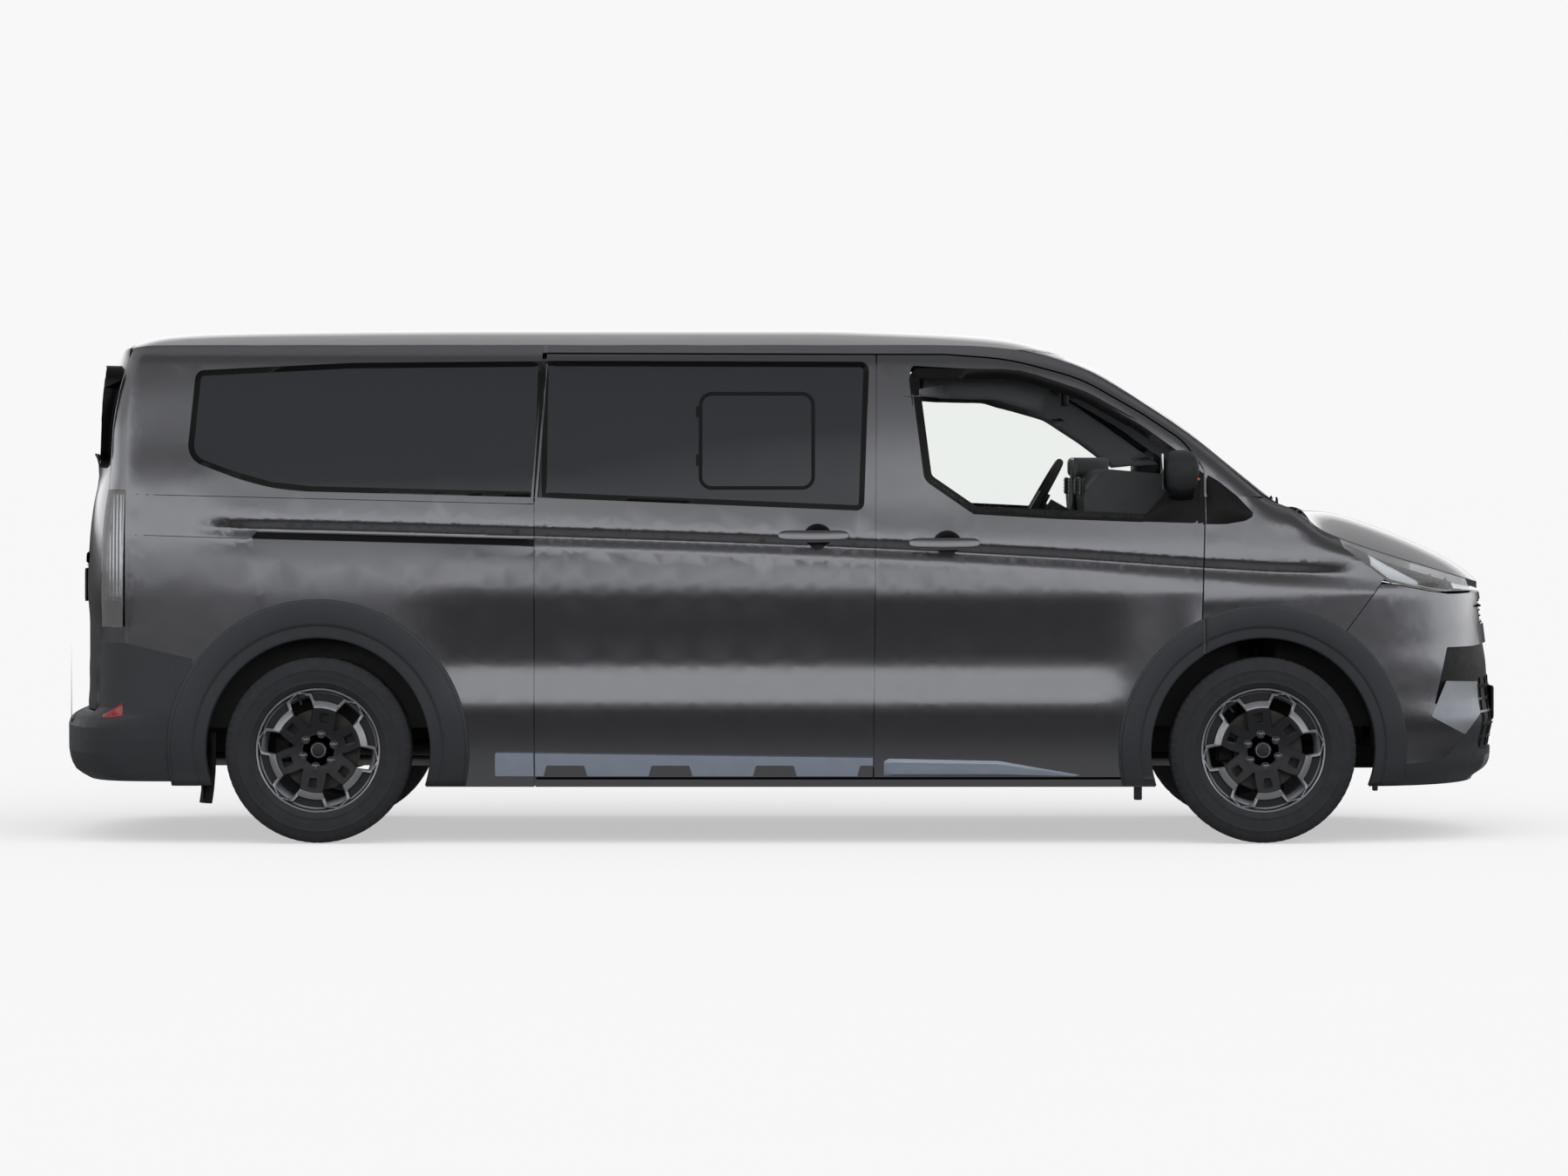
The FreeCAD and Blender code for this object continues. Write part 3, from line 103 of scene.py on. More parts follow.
class Shape:
    """Points in millimetres, and faces with the number of their finish."""

    def __init__(self):
        self.points, self.faces, self.kinds = [], [], []

    def add(self, points, faces, kind=0):
        """Takes in points, and faces of one finish."""
        start = len(self.points)
        self.points += [Vector(p) for p in points]
        self.faces += [[start + i for i in f] for f in faces]
        self.kinds += [kind] * len(faces)
        return self

    def join(self, other, move=None, kind=None):
        """Takes in another shape, moved by a matrix, with its own finishes or all of one."""
        points = [move @ p if move else p for p in other.points]
        start = len(self.points)
        self.points += points
        self.faces += [[start + i for i in f] for f in other.faces]
        self.kinds += other.kinds if kind is None else [kind] * len(other.faces)
        return self

    def mirrored(self):
        """The same shape on the other side of the centre plane."""
        twin = Shape()
        twin.points = [Vector((p.x, -p.y, p.z)) for p in self.points]
        twin.faces = [list(reversed(f)) for f in self.faces]
        twin.kinds = list(self.kinds)
        return twin

    def doubled(self):
        """The shape together with its mirror image."""
        return Shape().join(self).join(self.mirrored())


def grid(rows, close_rows=False, close_ends=False):
    """Faces over rows of equally many points: (points, faces)."""
    wide, count = len(rows[0]), len(rows)
    points = [p for row in rows for p in row]
    faces = []
    for i in range(count if close_ends else count - 1):
        for j in range(wide if close_rows else wide - 1):
            a, b = i * wide + j, i * wide + (j + 1) % wide
            c, d = ((i + 1) % count) * wide + (j + 1) % wide, ((i + 1) % count) * wide + j
            faces.append([a, b, c, d])
    return points, faces


def lathe(profile, count=64, closed=False, start=0.0):
    """A profile of (radius, width) turned about the Y axis."""
    rows = []
    for k in range(count):
        a = start + 2 * math.pi * k / count
        rows.append([Vector((r * math.cos(a), w, r * math.sin(a))) for r, w in profile])
    return grid(rows, closed, True)


def rounded(corners, closed=True, turn_step=0.22):
    """A path through (a, b, radius) corners, with each corner turned into an arc."""
    out, n = [], len(corners)
    for i, corner in enumerate(corners):
        p, radius = Vector(corner[:2]), (corner[2] if len(corner) > 2 else 0)
        if radius <= 0 or (not closed and i in (0, n - 1)):
            out.append(p)
            continue
        back, ahead = Vector(corners[i - 1][:2]) - p, Vector(corners[(i + 1) % n][:2]) - p
        half = back.angle(ahead) / 2
        reach = min(radius / math.tan(half), 0.49 * back.length, 0.49 * ahead.length)
        radius = reach * math.tan(half)
        back.normalize()
        ahead.normalize()
        centre = p + (back + ahead).normalized() * (radius / math.sin(half))
        first, last = p + back * reach - centre, p + ahead * reach - centre
        a0, a1 = math.atan2(first.y, first.x), math.atan2(last.y, last.x)
        turn = (a1 - a0 + math.pi) % (2 * math.pi) - math.pi
        count = max(2, int(abs(turn) / turn_step) + 1)
        for k in range(count + 1):
            a = a0 + turn * k / count
            out.append(centre + Vector((math.cos(a), math.sin(a))) * radius)
    return out


def even(path, gap, closed=False):
    """The path with points added so that none are further apart than gap."""
    out, n = [], len(path)
    for i in range(n if closed else n - 1):
        a, b = path[i], path[(i + 1) % n]
        count = max(1, math.ceil((b - a).length / gap))
        out += [a.lerp(b, k / count) for k in range(count)]
    return out if closed else out + [path[-1]]


def resampled(path, count):
    """The same path as count + 1 points, evenly spaced along it."""
    lengths = [0.0]
    for a, b in zip(path, path[1:]):
        lengths.append(lengths[-1] + (b - a).length)
    out, i = [], 0
    for k in range(count + 1):
        s = lengths[-1] * k / count
        while i < len(path) - 2 and lengths[i + 1] < s:
            i += 1
        span = lengths[i + 1] - lengths[i]
        out.append(path[i].lerp(path[i + 1], min(1, (s - lengths[i]) / span) if span else 0))
    return out


# ---- the CAD skin, as something to lay pieces on

# each view: where a line of sight starts for two coordinates, and which way it looks
VIEWS = {
    "right": (lambda a, b: (a, -2000, b), (0, 1, 0)),
    "front": (lambda a, b: (4000, a, b), (-1, 0, 0)),
    "rear": (lambda a, b: (-4000, a, b), (1, 0, 0)),
    "top": (lambda a, b: (a, b, 3000), (0, 0, -1)),
}


def skin_of(*names):
    """A search tree over CAD nodes, to lay pieces on them."""
    points, faces = [], []
    for name in names:
        mesh = NODES[name].data
        start = len(points)
        points += [v.co / MM for v in mesh.vertices]
        faces += [[start + i for i in p.vertices] for p in mesh.polygons]
    return BVHTree.FromPolygons(points, faces)


def touch(tree, view, a, b, lift=0.0):
    """Where a line of sight meets the skin, lifted off it along the surface's normal."""
    place, way = VIEWS[view]
    way = Vector(way)
    start = Vector(place(a, b))
    hit, normal, _, _ = tree.ray_cast(start, way)
    if hit is None:
        # past the skin's edge: the nearest point's depth, on the same line of sight
        hit, normal, _, _ = tree.find_nearest(start + way * 1000)
        hit = start + way * way.dot(hit - start)
    if normal.dot(way) > 0:
        normal = -normal
    return hit + normal * lift


def ribbon(tree, view, path, half, lift, closed=False, gap=30.0, edge=0.25, kind=0):
    """A thin bead laid along a path drawn in the view."""
    path = even(path, gap, closed)
    rows, n = [], len(path)
    for i, p in enumerate(path):
        back = path[(i - 1) % n] if closed or i > 0 else p
        ahead = path[(i + 1) % n] if closed or i < n - 1 else p
        along = (ahead - back).normalized()
        out = Vector((-along.y, along.x))
        row = []
        for share, height in ((-1, -0.6), (-1 + edge, lift), (1 - edge, lift), (1, -0.6)):
            q = p + out * half * share
            row.append(touch(tree, view, q.x, q.y, height))
        rows.append(row)
    return Shape().add(*grid(rows, False, closed), kind)


def sheet(tree, view, low, high, lift, across=4, along=24, kind=0, crown=0.0, rim_lift=-0.4):
    """A filled patch between two paths drawn in the view. Its rim is tucked onto the skin."""
    low, high = resampled(low, along), resampled(high, along)
    rows = []
    for i, (a, b) in enumerate(zip(low, high)):
        row = []
        for k in range(across + 1):
            q = a.lerp(b, k / across)
            rim = k in (0, across) or i in (0, along)
            bulge = crown * math.sin(math.pi * k / across) * math.sin(math.pi * i / along)
            row.append(touch(tree, view, q.x, q.y, rim_lift if rim else lift + bulge))
        rows.append(row)
    return Shape().add(*grid(rows), kind)


def tube(path, radius, count=8, closed=False, kind=0):
    """A round bar along points in space."""
    rows, n = [], len(path)
    side = None
    for i in range(n):
        back = path[(i - 1) % n] if closed or i > 0 else path[i]
        ahead = path[(i + 1) % n] if closed or i < n - 1 else path[i]
        along = (ahead - back).normalized()
        if side is None:
            side = along.orthogonal().normalized()
        side = (side - along * side.dot(along)).normalized()
        other = along.cross(side)
        r = radius[i] if isinstance(radius, (list, tuple)) else radius
        rows.append([path[i] + (side * math.cos(t) + other * math.sin(t)) * r
                     for t in (2 * math.pi * k / count for k in range(count))])
    shape = Shape().add(*grid(rows, True, closed), kind)
    if not closed:
        for row, order in ((rows[0], -1), (rows[-1], 1)):
            shape.add(row, [list(range(count))[::order]], kind)
    return shape


def soft_box(size, radius, at=(0, 0, 0), segments=3, kind=0):
    """A block with rounded edges, made in bmesh."""
    bm = bmesh.new()
    bmesh.ops.create_cube(bm, size=1.0, matrix=Matrix.Diagonal((*size, 1.0)))
    bmesh.ops.bevel(bm, geom=bm.edges[:] + bm.verts[:], offset=radius, segments=segments, profile=0.6,
                    affect="EDGES", clamp_overlap=True)
    shape = Shape().add([v.co + Vector(at) for v in bm.verts], [[v.index for v in f.verts] for f in bm.faces], kind)
    bm.free()
    return shape


def loft(sections, kind=0, close_rows=True, caps=True):
    """A skin over sections of equally many points."""
    shape = Shape().add(*grid(sections, close_rows), kind)
    if caps:
        n = len(sections[0])
        shape.add(sections[0], [list(range(n))], kind)
        shape.add(sections[-1], [list(reversed(range(n)))], kind)
    return shape


def make(name, shape, body, finishes, replaces=(), sharp=35.0, thick=None, bevel=None, subdivide=0):
    """Turns a shape into a piece that rides on a body."""
    mesh = bpy.data.meshes.new(name)
    mesh.from_pydata([p * MM for p in shape.points], [], shape.faces)
    mesh.validate()
    for material in finishes:
        mesh.materials.append(material)
    if len(mesh.polygons) == len(shape.kinds):
        mesh.polygons.foreach_set("material_index", shape.kinds)
    bm = bmesh.new()
    bm.from_mesh(mesh)
    bmesh.ops.remove_doubles(bm, verts=bm.verts, dist=0.00002)
    bmesh.ops.recalc_face_normals(bm, faces=bm.faces)
    bm.to_mesh(mesh)
    bm.free()
    mesh.shade_smooth()
    mesh.set_sharp_from_angle(angle=math.radians(sharp))
    piece = bpy.data.objects.new(name, mesh)
    bpy.context.scene.collection.objects.link(piece)
    if thick:
        wall = piece.modifiers.new("wall", "SOLIDIFY")
        wall.thickness, wall.offset = thick * MM, -1
    if bevel:
        edge = piece.modifiers.new("edge", "BEVEL")
        edge.width, edge.segments, edge.limit_method = bevel * MM, 2, "ANGLE"
        edge.angle_limit = math.radians(40)
    if subdivide:
        finer = piece.modifiers.new("finer", "SUBSURF")
        finer.levels = finer.render_levels = subdivide
    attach(piece, body)
    if replaces:
        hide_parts(*replaces)
    return piece


# ---- materials


def linear(hex_code):
    """An sRGB hex colour as linear RGBA."""
    values = [int(hex_code[i:i + 2], 16) / 255 for i in (1, 3, 5)]
    return [v / 12.92 if v <= 0.04045 else ((v + 0.055) / 1.055) ** 2.4 for v in values] + [1.0]


def add_node(tree, kind, inputs=None, outputs=None, **settings):
    """Adds a shader node. An input is a value or a (node, output) pair; outputs go to (node, input) pairs."""
    made = tree.nodes.new(kind)
    for key, value in settings.items():
        setattr(made, key, value)
    for key, value in (inputs or {}).items():
        if isinstance(value, tuple) and isinstance(value[0], bpy.types.Node):
            tree.links.new(value[0].outputs[value[1]], made.inputs[key])
        else:
            made.inputs[key].default_value = value
    for key, (other, socket) in (outputs or {}).items():
        tree.links.new(made.outputs[key], other.inputs[socket])
    return made


def new_material(name, **sockets):
    """A material with one Principled shader, its sockets set directly, and the object's own coordinates."""
    made = bpy.data.materials.new(name)
    made.use_nodes = True
    tree = made.node_tree
    tree.nodes.clear()
    out = add_node(tree, "ShaderNodeOutputMaterial")
    shader = add_node(tree, "ShaderNodeBsdfPrincipled", outputs={"BSDF": (out, "Surface")})
    for key, value in sockets.items():
        shader.inputs[key.replace("_", " ")].default_value = value
    return made, tree, shader, add_node(tree, "ShaderNodeTexCoord")


def uneven(tree, space, shader, size_mm, socket, low, high):
    """Lets a colour or value wander between two values over patches of a size in millimetres."""
    noise = add_node(tree, "ShaderNodeTexNoise", {"Vector": (space, "Object"), "Scale": 1 / (size_mm * MM),
                                                  "Detail": 3.0})
    if isinstance(low, str):
        add_node(tree, "ShaderNodeMix", {"Factor": (noise, "Fac"), "A": linear(low), "B": linear(high)},
                 {"Result": (shader, socket)}, data_type="RGBA")
    else:
        add_node(tree, "ShaderNodeMapRange", {"Value": (noise, "Fac"), "From Min": 0.3, "From Max": 0.7,
                                              "To Min": low, "To Max": high}, {"Result": (shader, socket)})
    return noise


def metallic_clearcoat(colour):
    """Aluminium-flake basecoat under lacquer, sprayed: dark where it mirrors the ground, bright on its shoulders."""
    made, tree, shader, space = new_material("metallic_clearcoat", Metallic=1.0, Coat_Weight=1.0, Coat_IOR=1.5,
                                             Coat_Roughness=0.02)
    # flakes are 0.05 mm; they are drawn at 2 mm, and so faintly that they only soften the colour
    flakes = add_node(tree, "ShaderNodeTexVoronoi", {"Vector": (space, "Object"), "Scale": 500.0})
    tone = linear(colour)
    add_node(tree, "ShaderNodeMix", {"Factor": (flakes, "Distance"), "A": [c * 0.98 for c in tone[:3]] + [1.0],
                                     "B": [c * 1.03 for c in tone[:3]] + [1.0]},
             {"Result": (shader, "Base Color")}, data_type="RGBA")
    uneven(tree, space, shader, 60, "Roughness", 0.20, 0.22)
    # orange peel: waves of about 6 mm and a few micrometres
    peel = add_node(tree, "ShaderNodeTexNoise", {"Vector": (space, "Object"), "Scale": 160.0, "Detail": 1.0})
    add_node(tree, "ShaderNodeBump", {"Height": (peel, "Fac"), "Strength": 0.12, "Distance": 0.02 * MM},
             {"Normal": (shader, "Coat Normal")})
    return made


def primed_steel():
    """Body colour without lacquer on inner panels: a dull, slightly dusty dark grey."""
    made, tree, shader, space = new_material("primed_steel", Metallic=0.3, Specular_IOR_Level=0.3)
    uneven(tree, space, shader, 45, "Base Color", "#1d1d1f", "#26272a")
    uneven(tree, space, shader, 20, "Roughness", 0.5, 0.7)
    return made


def grained_polypropylene(name, low, high, size_mm=2.4, roughness=(0.42, 0.52)):
    """Injection-moulded polypropylene with an etched leather grain: highlights spread into a soft grey sheen."""
    made, tree, shader, space = new_material(name, IOR=1.49)
    uneven(tree, space, shader, 90, "Base Color", low, high)
    uneven(tree, space, shader, 30, "Roughness", *roughness)
    cells = add_node(tree, "ShaderNodeTexVoronoi", {"Vector": (space, "Object"), "Scale": 1 / (size_mm * MM)},
                     feature="SMOOTH_F1")
    add_node(tree, "ShaderNodeBump", {"Height": (cells, "Distance"), "Strength": 0.35, "Distance": 0.25 * MM},
             {"Normal": (shader, "Normal")})
    return made


def gloss_acrylic(name, colour, roughness=(0.06, 0.14)):
    """Moulded acrylic or enamel, lacquered black: a plain dark mirror with a faint ripple."""
    made, tree, shader, space = new_material(name, Base_Color=linear(colour), IOR=1.49)
    noise = uneven(tree, space, shader, 35, "Roughness", *roughness)
    add_node(tree, "ShaderNodeBump", {"Height": (noise, "Fac"), "Strength": 0.1, "Distance": 0.03 * MM},
             {"Normal": (shader, "Normal")})
    return made


def float_glass(name, tint, clear):
    """Toughened float glass, tinted in the melt and rolled flat: part mirror, part window."""
    made, tree, shader, space = new_material(name, IOR=1.52, Base_Color=linear(tint), Roughness=0.0,
                                             Coat_Weight=0.6, Coat_IOR=1.52, Coat_Roughness=0.0)
    # thin panes are drawn without refraction: the tint scales what shows through
    shade = linear(clear)
    through_it = add_node(tree, "ShaderNodeBsdfTransparent", {"Color": shade})
    # roller marks: swells of 200 mm, a few micrometres high
    noise = add_node(tree, "ShaderNodeTexNoise", {"Vector": (space, "Object"), "Scale": 5.0, "Detail": 1.0})
    add_node(tree, "ShaderNodeBump", {"Height": (noise, "Fac"), "Strength": 0.15, "Distance": 0.05 * MM},
             {"Normal": (shader, "Normal")})
    facing = add_node(tree, "ShaderNodeFresnel", {"IOR": 1.52})
    share = add_node(tree, "ShaderNodeMath", {0: (facing, "Fac"), 1: 1.0 - sum(shade[:3]) / 3 * 0.98},
                     operation="MAXIMUM")
    # only a pane's outer face mirrors; its inner face is left to let light out
    face = add_node(tree, "ShaderNodeNewGeometry")
    inner = add_node(tree, "ShaderNodeMath", {0: 1.0, 1: (face, "Backfacing")}, operation="SUBTRACT")
    share = add_node(tree, "ShaderNodeMath", {0: (share, "Value"), 1: (inner, "Value")}, operation="MULTIPLY")
    out = next(n for n in tree.nodes if n.type == "OUTPUT_MATERIAL")
    add_node(tree, "ShaderNodeMixShader", {"Fac": (share, "Value"), 1: (through_it, "BSDF"), 2: (shader, "BSDF")},
             {"Shader": (out, "Surface")})
    return made


def ceramic_frit():
    """Black enamel fired onto glass: a dense satin black that hides the adhesive."""
    made, tree, shader, space = new_material("ceramic_frit", IOR=1.52, Specular_IOR_Level=0.25)
    uneven(tree, space, shader, 12, "Roughness", 0.2, 0.3)
    uneven(tree, space, shader, 60, "Base Color", "#070708", "#0c0d0e")
    return made


def rubber(name, low, high, size_mm, depth_mm, roughness=0.75):
    """Vulcanised rubber, extruded or moulded: matt black with a bloom of grey."""
    made, tree, shader, space = new_material(name, IOR=1.5, Roughness=roughness, Specular_IOR_Level=0.35)
    uneven(tree, space, shader, 40, "Base Color", low, high)
    fine = add_node(tree, "ShaderNodeTexNoise", {"Vector": (space, "Object"), "Scale": 1 / (size_mm * MM)})
    add_node(tree, "ShaderNodeBump", {"Height": (fine, "Fac"), "Strength": 0.4, "Distance": depth_mm * MM},
             {"Normal": (shader, "Normal")})
    return made


def turned_metal(name, low, high, axle_x, pitch_mm, depth_mm, roughness):
    """Metal faced on a lathe: fine rings round the axle pull highlights into fans."""
    made, tree, shader, space = new_material(name, Metallic=1.0)
    centre = add_node(tree, "ShaderNodeMapping", {"Vector": (space, "Object"),
                                                  "Location": (-axle_x * MM, 0, -HUB_HEIGHT * MM),
                                                  "Scale": (1, 0.0, 1)})
    length = add_node(tree, "ShaderNodeVectorMath", {0: (centre, "Vector")}, operation="LENGTH")
    rings = add_node(tree, "ShaderNodeMath", {0: (length, "Value"), 1: 2 * math.pi / (pitch_mm * MM)},
                     operation="MULTIPLY")
    wave = add_node(tree, "ShaderNodeMath", {0: (rings, "Value")}, operation="SINE")
    add_node(tree, "ShaderNodeBump", {"Height": (wave, "Value"), "Strength": 0.3, "Distance": depth_mm * MM},
             {"Normal": (shader, "Normal")})
    uneven(tree, space, shader, 25, "Base Color", low, high)
    uneven(tree, space, shader, 12, "Roughness", *roughness)
    return made


def coated_iron(name, low, high):
    """Sand-cast or forged iron under black wax: lumpy, with soft broken highlights."""
    made, tree, shader, space = new_material(name, Metallic=0.5)
    noise = uneven(tree, space, shader, 14, "Roughness", 0.45, 0.7)
    uneven(tree, space, shader, 60, "Base Color", low, high)
    add_node(tree, "ShaderNodeBump", {"Height": (noise, "Fac"), "Strength": 0.5, "Distance": 0.8 * MM},
             {"Normal": (shader, "Normal")})
    return made


def clear_polycarbonate():
    """Hard-coated injection-moulded polycarbonate: a clear cover that shows only as reflections."""
    made, tree, shader, space = new_material("clear_polycarbonate", IOR=1.58, Roughness=0.0,
                                             Base_Color=linear("#ffffff"), Coat_Weight=1.0, Coat_IOR=1.58)
    noise = add_node(tree, "ShaderNodeTexNoise", {"Vector": (space, "Object"), "Scale": 12.0, "Detail": 0.0})
    add_node(tree, "ShaderNodeBump", {"Height": (noise, "Fac"), "Strength": 0.1, "Distance": 0.05 * MM},
             {"Normal": (shader, "Normal")})
    through_it = add_node(tree, "ShaderNodeBsdfTransparent", {"Color": linear("#f4f6f8")})
    facing = add_node(tree, "ShaderNodeFresnel", {"IOR": 1.58})
    share = add_node(tree, "ShaderNodeMath", {0: (facing, "Fac"), 1: 0.12}, operation="ADD")
    out = next(n for n in tree.nodes if n.type == "OUTPUT_MATERIAL")
    add_node(tree, "ShaderNodeMixShader", {"Fac": (share, "Value"), 1: (through_it, "BSDF"), 2: (shader, "BSDF")},
             {"Shader": (out, "Surface")})
    return made


def metallised_reflector(name="metallised_reflector", low="#c9ccd0", high="#e2e4e6", rib_mm=0.0):
    """Polycarbonate with evaporated aluminium: a soft bright mirror, ribbed where it spreads the light."""
    made, tree, shader, space = new_material(name, Metallic=1.0)
    uneven(tree, space, shader, 30, "Base Color", low, high)
    uneven(tree, space, shader, 30, "Roughness", 0.12, 0.25)
    if rib_mm:
        split = add_node(tree, "ShaderNodeSeparateXYZ", {"Vector": (space, "Object")})
        turns = add_node(tree, "ShaderNodeMath", {0: (split, "X"), 1: 2 * math.pi / (rib_mm * MM)},
                         operation="MULTIPLY")
        wave = add_node(tree, "ShaderNodeMath", {0: (turns, "Value")}, operation="SINE")
        add_node(tree, "ShaderNodeBump", {"Height": (wave, "Value"), "Strength": 1.0, "Distance": 1.2 * MM},
                 {"Normal": (shader, "Normal")})
    return made


def light_guide():
    """Milky acrylic light guide, moulded: an even white even when it is off, because a faint emission paints a glow
    into it.
    """
    # the emission is a painted glow: the lamp itself is off
    made, tree, shader, space = new_material("milky_acrylic", IOR=1.49, Roughness=0.35,
                                             Emission_Color=linear("#eef2f6"), Emission_Strength=0.12)
    uneven(tree, space, shader, 18, "Base Color", "#dde2e8", "#eceff3")
    return made


def coloured_acrylic(name, low, high, glow):
    """Dyed acrylic lens with prisms on its back: small cells that catch the light, and a faint emission that paints a
    glow into the lens, also on reflectors, which are no lamps.
    """
    # the emission is a painted glow, not a lit lamp
    made, tree, shader, space = new_material(name, IOR=1.49, Roughness=0.08, Coat_Weight=1.0, Coat_IOR=1.49,
                                             Emission_Color=linear(high), Emission_Strength=glow)
    cells = add_node(tree, "ShaderNodeTexVoronoi", {"Vector": (space, "Object"), "Scale": 250.0},
                     distance="CHEBYCHEV")
    add_node(tree, "ShaderNodeMix", {"Factor": (cells, "Distance"), "A": linear(low), "B": linear(high)},
             {"Result": (shader, "Base Color")}, data_type="RGBA")
    add_node(tree, "ShaderNodeBump", {"Height": (cells, "Distance"), "Strength": 0.5, "Distance": 0.6 * MM},
             {"Normal": (shader, "Normal")})
    return made


def satin_paint(name, low, high, metallic=0.8, roughness=(0.28, 0.36)):
    """Satin metallic paint on moulded plastic: an even silver without a mirror in it."""
    made, tree, shader, space = new_material(name, Metallic=metallic)
    uneven(tree, space, shader, 50, "Base Color", low, high)
    noise = uneven(tree, space, shader, 3, "Roughness", *roughness)
    add_node(tree, "ShaderNodeBump", {"Height": (noise, "Fac"), "Strength": 0.1, "Distance": 0.03 * MM},
             {"Normal": (shader, "Normal")})
    return made


def plated_zinc(name="plated_zinc", low="#a3a6a8", high="#c4c6c7"):
    """Zinc-plated and passivated steel: bright but slightly milky."""
    made, tree, shader, space = new_material(name, Metallic=1.0)
    uneven(tree, space, shader, 6, "Base Color", low, high)
    uneven(tree, space, shader, 4, "Roughness", 0.22, 0.38)
    return made


def woven_fabric(name, low, high, thread_mm=2.2):
    """Woven polyester seat cloth: two thread directions, matt, with a pale sheen at grazing angles."""
    made, tree, shader, space = new_material(name, Roughness=0.9, Sheen_Weight=0.5, Sheen_Roughness=0.5,
                                             Specular_IOR_Level=0.2)
    # threads are 0.5 mm; they are drawn at about 2 mm so that the weave shows
    turns = 2 * math.pi / (thread_mm * MM)
    split = add_node(tree, "ShaderNodeSeparateXYZ", {"Vector": (space, "Object")})
    waves = []
    for axis in ("X", "Y", "Z"):
        scaled = add_node(tree, "ShaderNodeMath", {0: (split, axis), 1: turns}, operation="MULTIPLY")
        waves.append(add_node(tree, "ShaderNodeMath", {0: (scaled, "Value")}, operation="SINE"))
    first = add_node(tree, "ShaderNodeMath", {0: (waves[0], "Value"), 1: (waves[2], "Value")}, operation="ADD")
    both = add_node(tree, "ShaderNodeMath", {0: (first, "Value"), 1: (waves[1], "Value")}, operation="MULTIPLY")
    add_node(tree, "ShaderNodeBump", {"Height": (both, "Value"), "Strength": 0.5, "Distance": 0.35 * MM},
             {"Normal": (shader, "Normal")})
    uneven(tree, space, shader, 8, "Base Color", low, high)
    return made


def leather_grain(name, low, high):
    """Grained synthetic leather, embossed: pebbles of 2 mm with a soft sheen."""
    made, tree, shader, space = new_material(name, IOR=1.5)
    cells = add_node(tree, "ShaderNodeTexVoronoi", {"Vector": (space, "Object"), "Scale": 500.0},
                     feature="DISTANCE_TO_EDGE")
    add_node(tree, "ShaderNodeBump", {"Height": (cells, "Distance"), "Strength": 0.5, "Distance": 0.3 * MM},
             {"Normal": (shader, "Normal")})
    uneven(tree, space, shader, 50, "Base Color", low, high)
    uneven(tree, space, shader, 14, "Roughness", 0.45, 0.6)
    return made


def needled_felt(name, low, high):
    """Needle-punched felt or carpet: short tangled fibres, fully matt."""
    made, tree, shader, space = new_material(name, Roughness=1.0, Sheen_Weight=0.3, Specular_IOR_Level=0.1)
    noise = uneven(tree, space, shader, 3, "Base Color", low, high)
    add_node(tree, "ShaderNodeBump", {"Height": (noise, "Fac"), "Strength": 0.8, "Distance": 1.0 * MM},
             {"Normal": (shader, "Normal")})
    return made


def heat_dulled_steel():
    """Aluminised steel tube after heat: grey with straw and blue patches."""
    made, tree, shader, space = new_material("aluminised_steel", Metallic=1.0)
    uneven(tree, space, shader, 120, "Base Color", "#6b6660", "#8d8b88")
    uneven(tree, space, shader, 20, "Roughness", 0.35, 0.55)
    return made


def plate_sheet():
    """Retroreflective sheeting on aluminium, blank: off-white with a fine bead texture."""
    made, tree, shader, space = new_material("reflective_sheeting", Roughness=0.4, Coat_Weight=0.5)
    noise = uneven(tree, space, shader, 2, "Base Color", "#d9dad6", "#e6e7e3")
    add_node(tree, "ShaderNodeBump", {"Height": (noise, "Fac"), "Strength": 0.2, "Distance": 0.1 * MM},
             {"Normal": (shader, "Normal")})
    return made


FINISHES = {}


def finish(name):
    """A finish by its short name, made on first use."""
    if name not in FINISHES:
        FINISHES[name] = RECIPES[name]()
    return FINISHES[name]


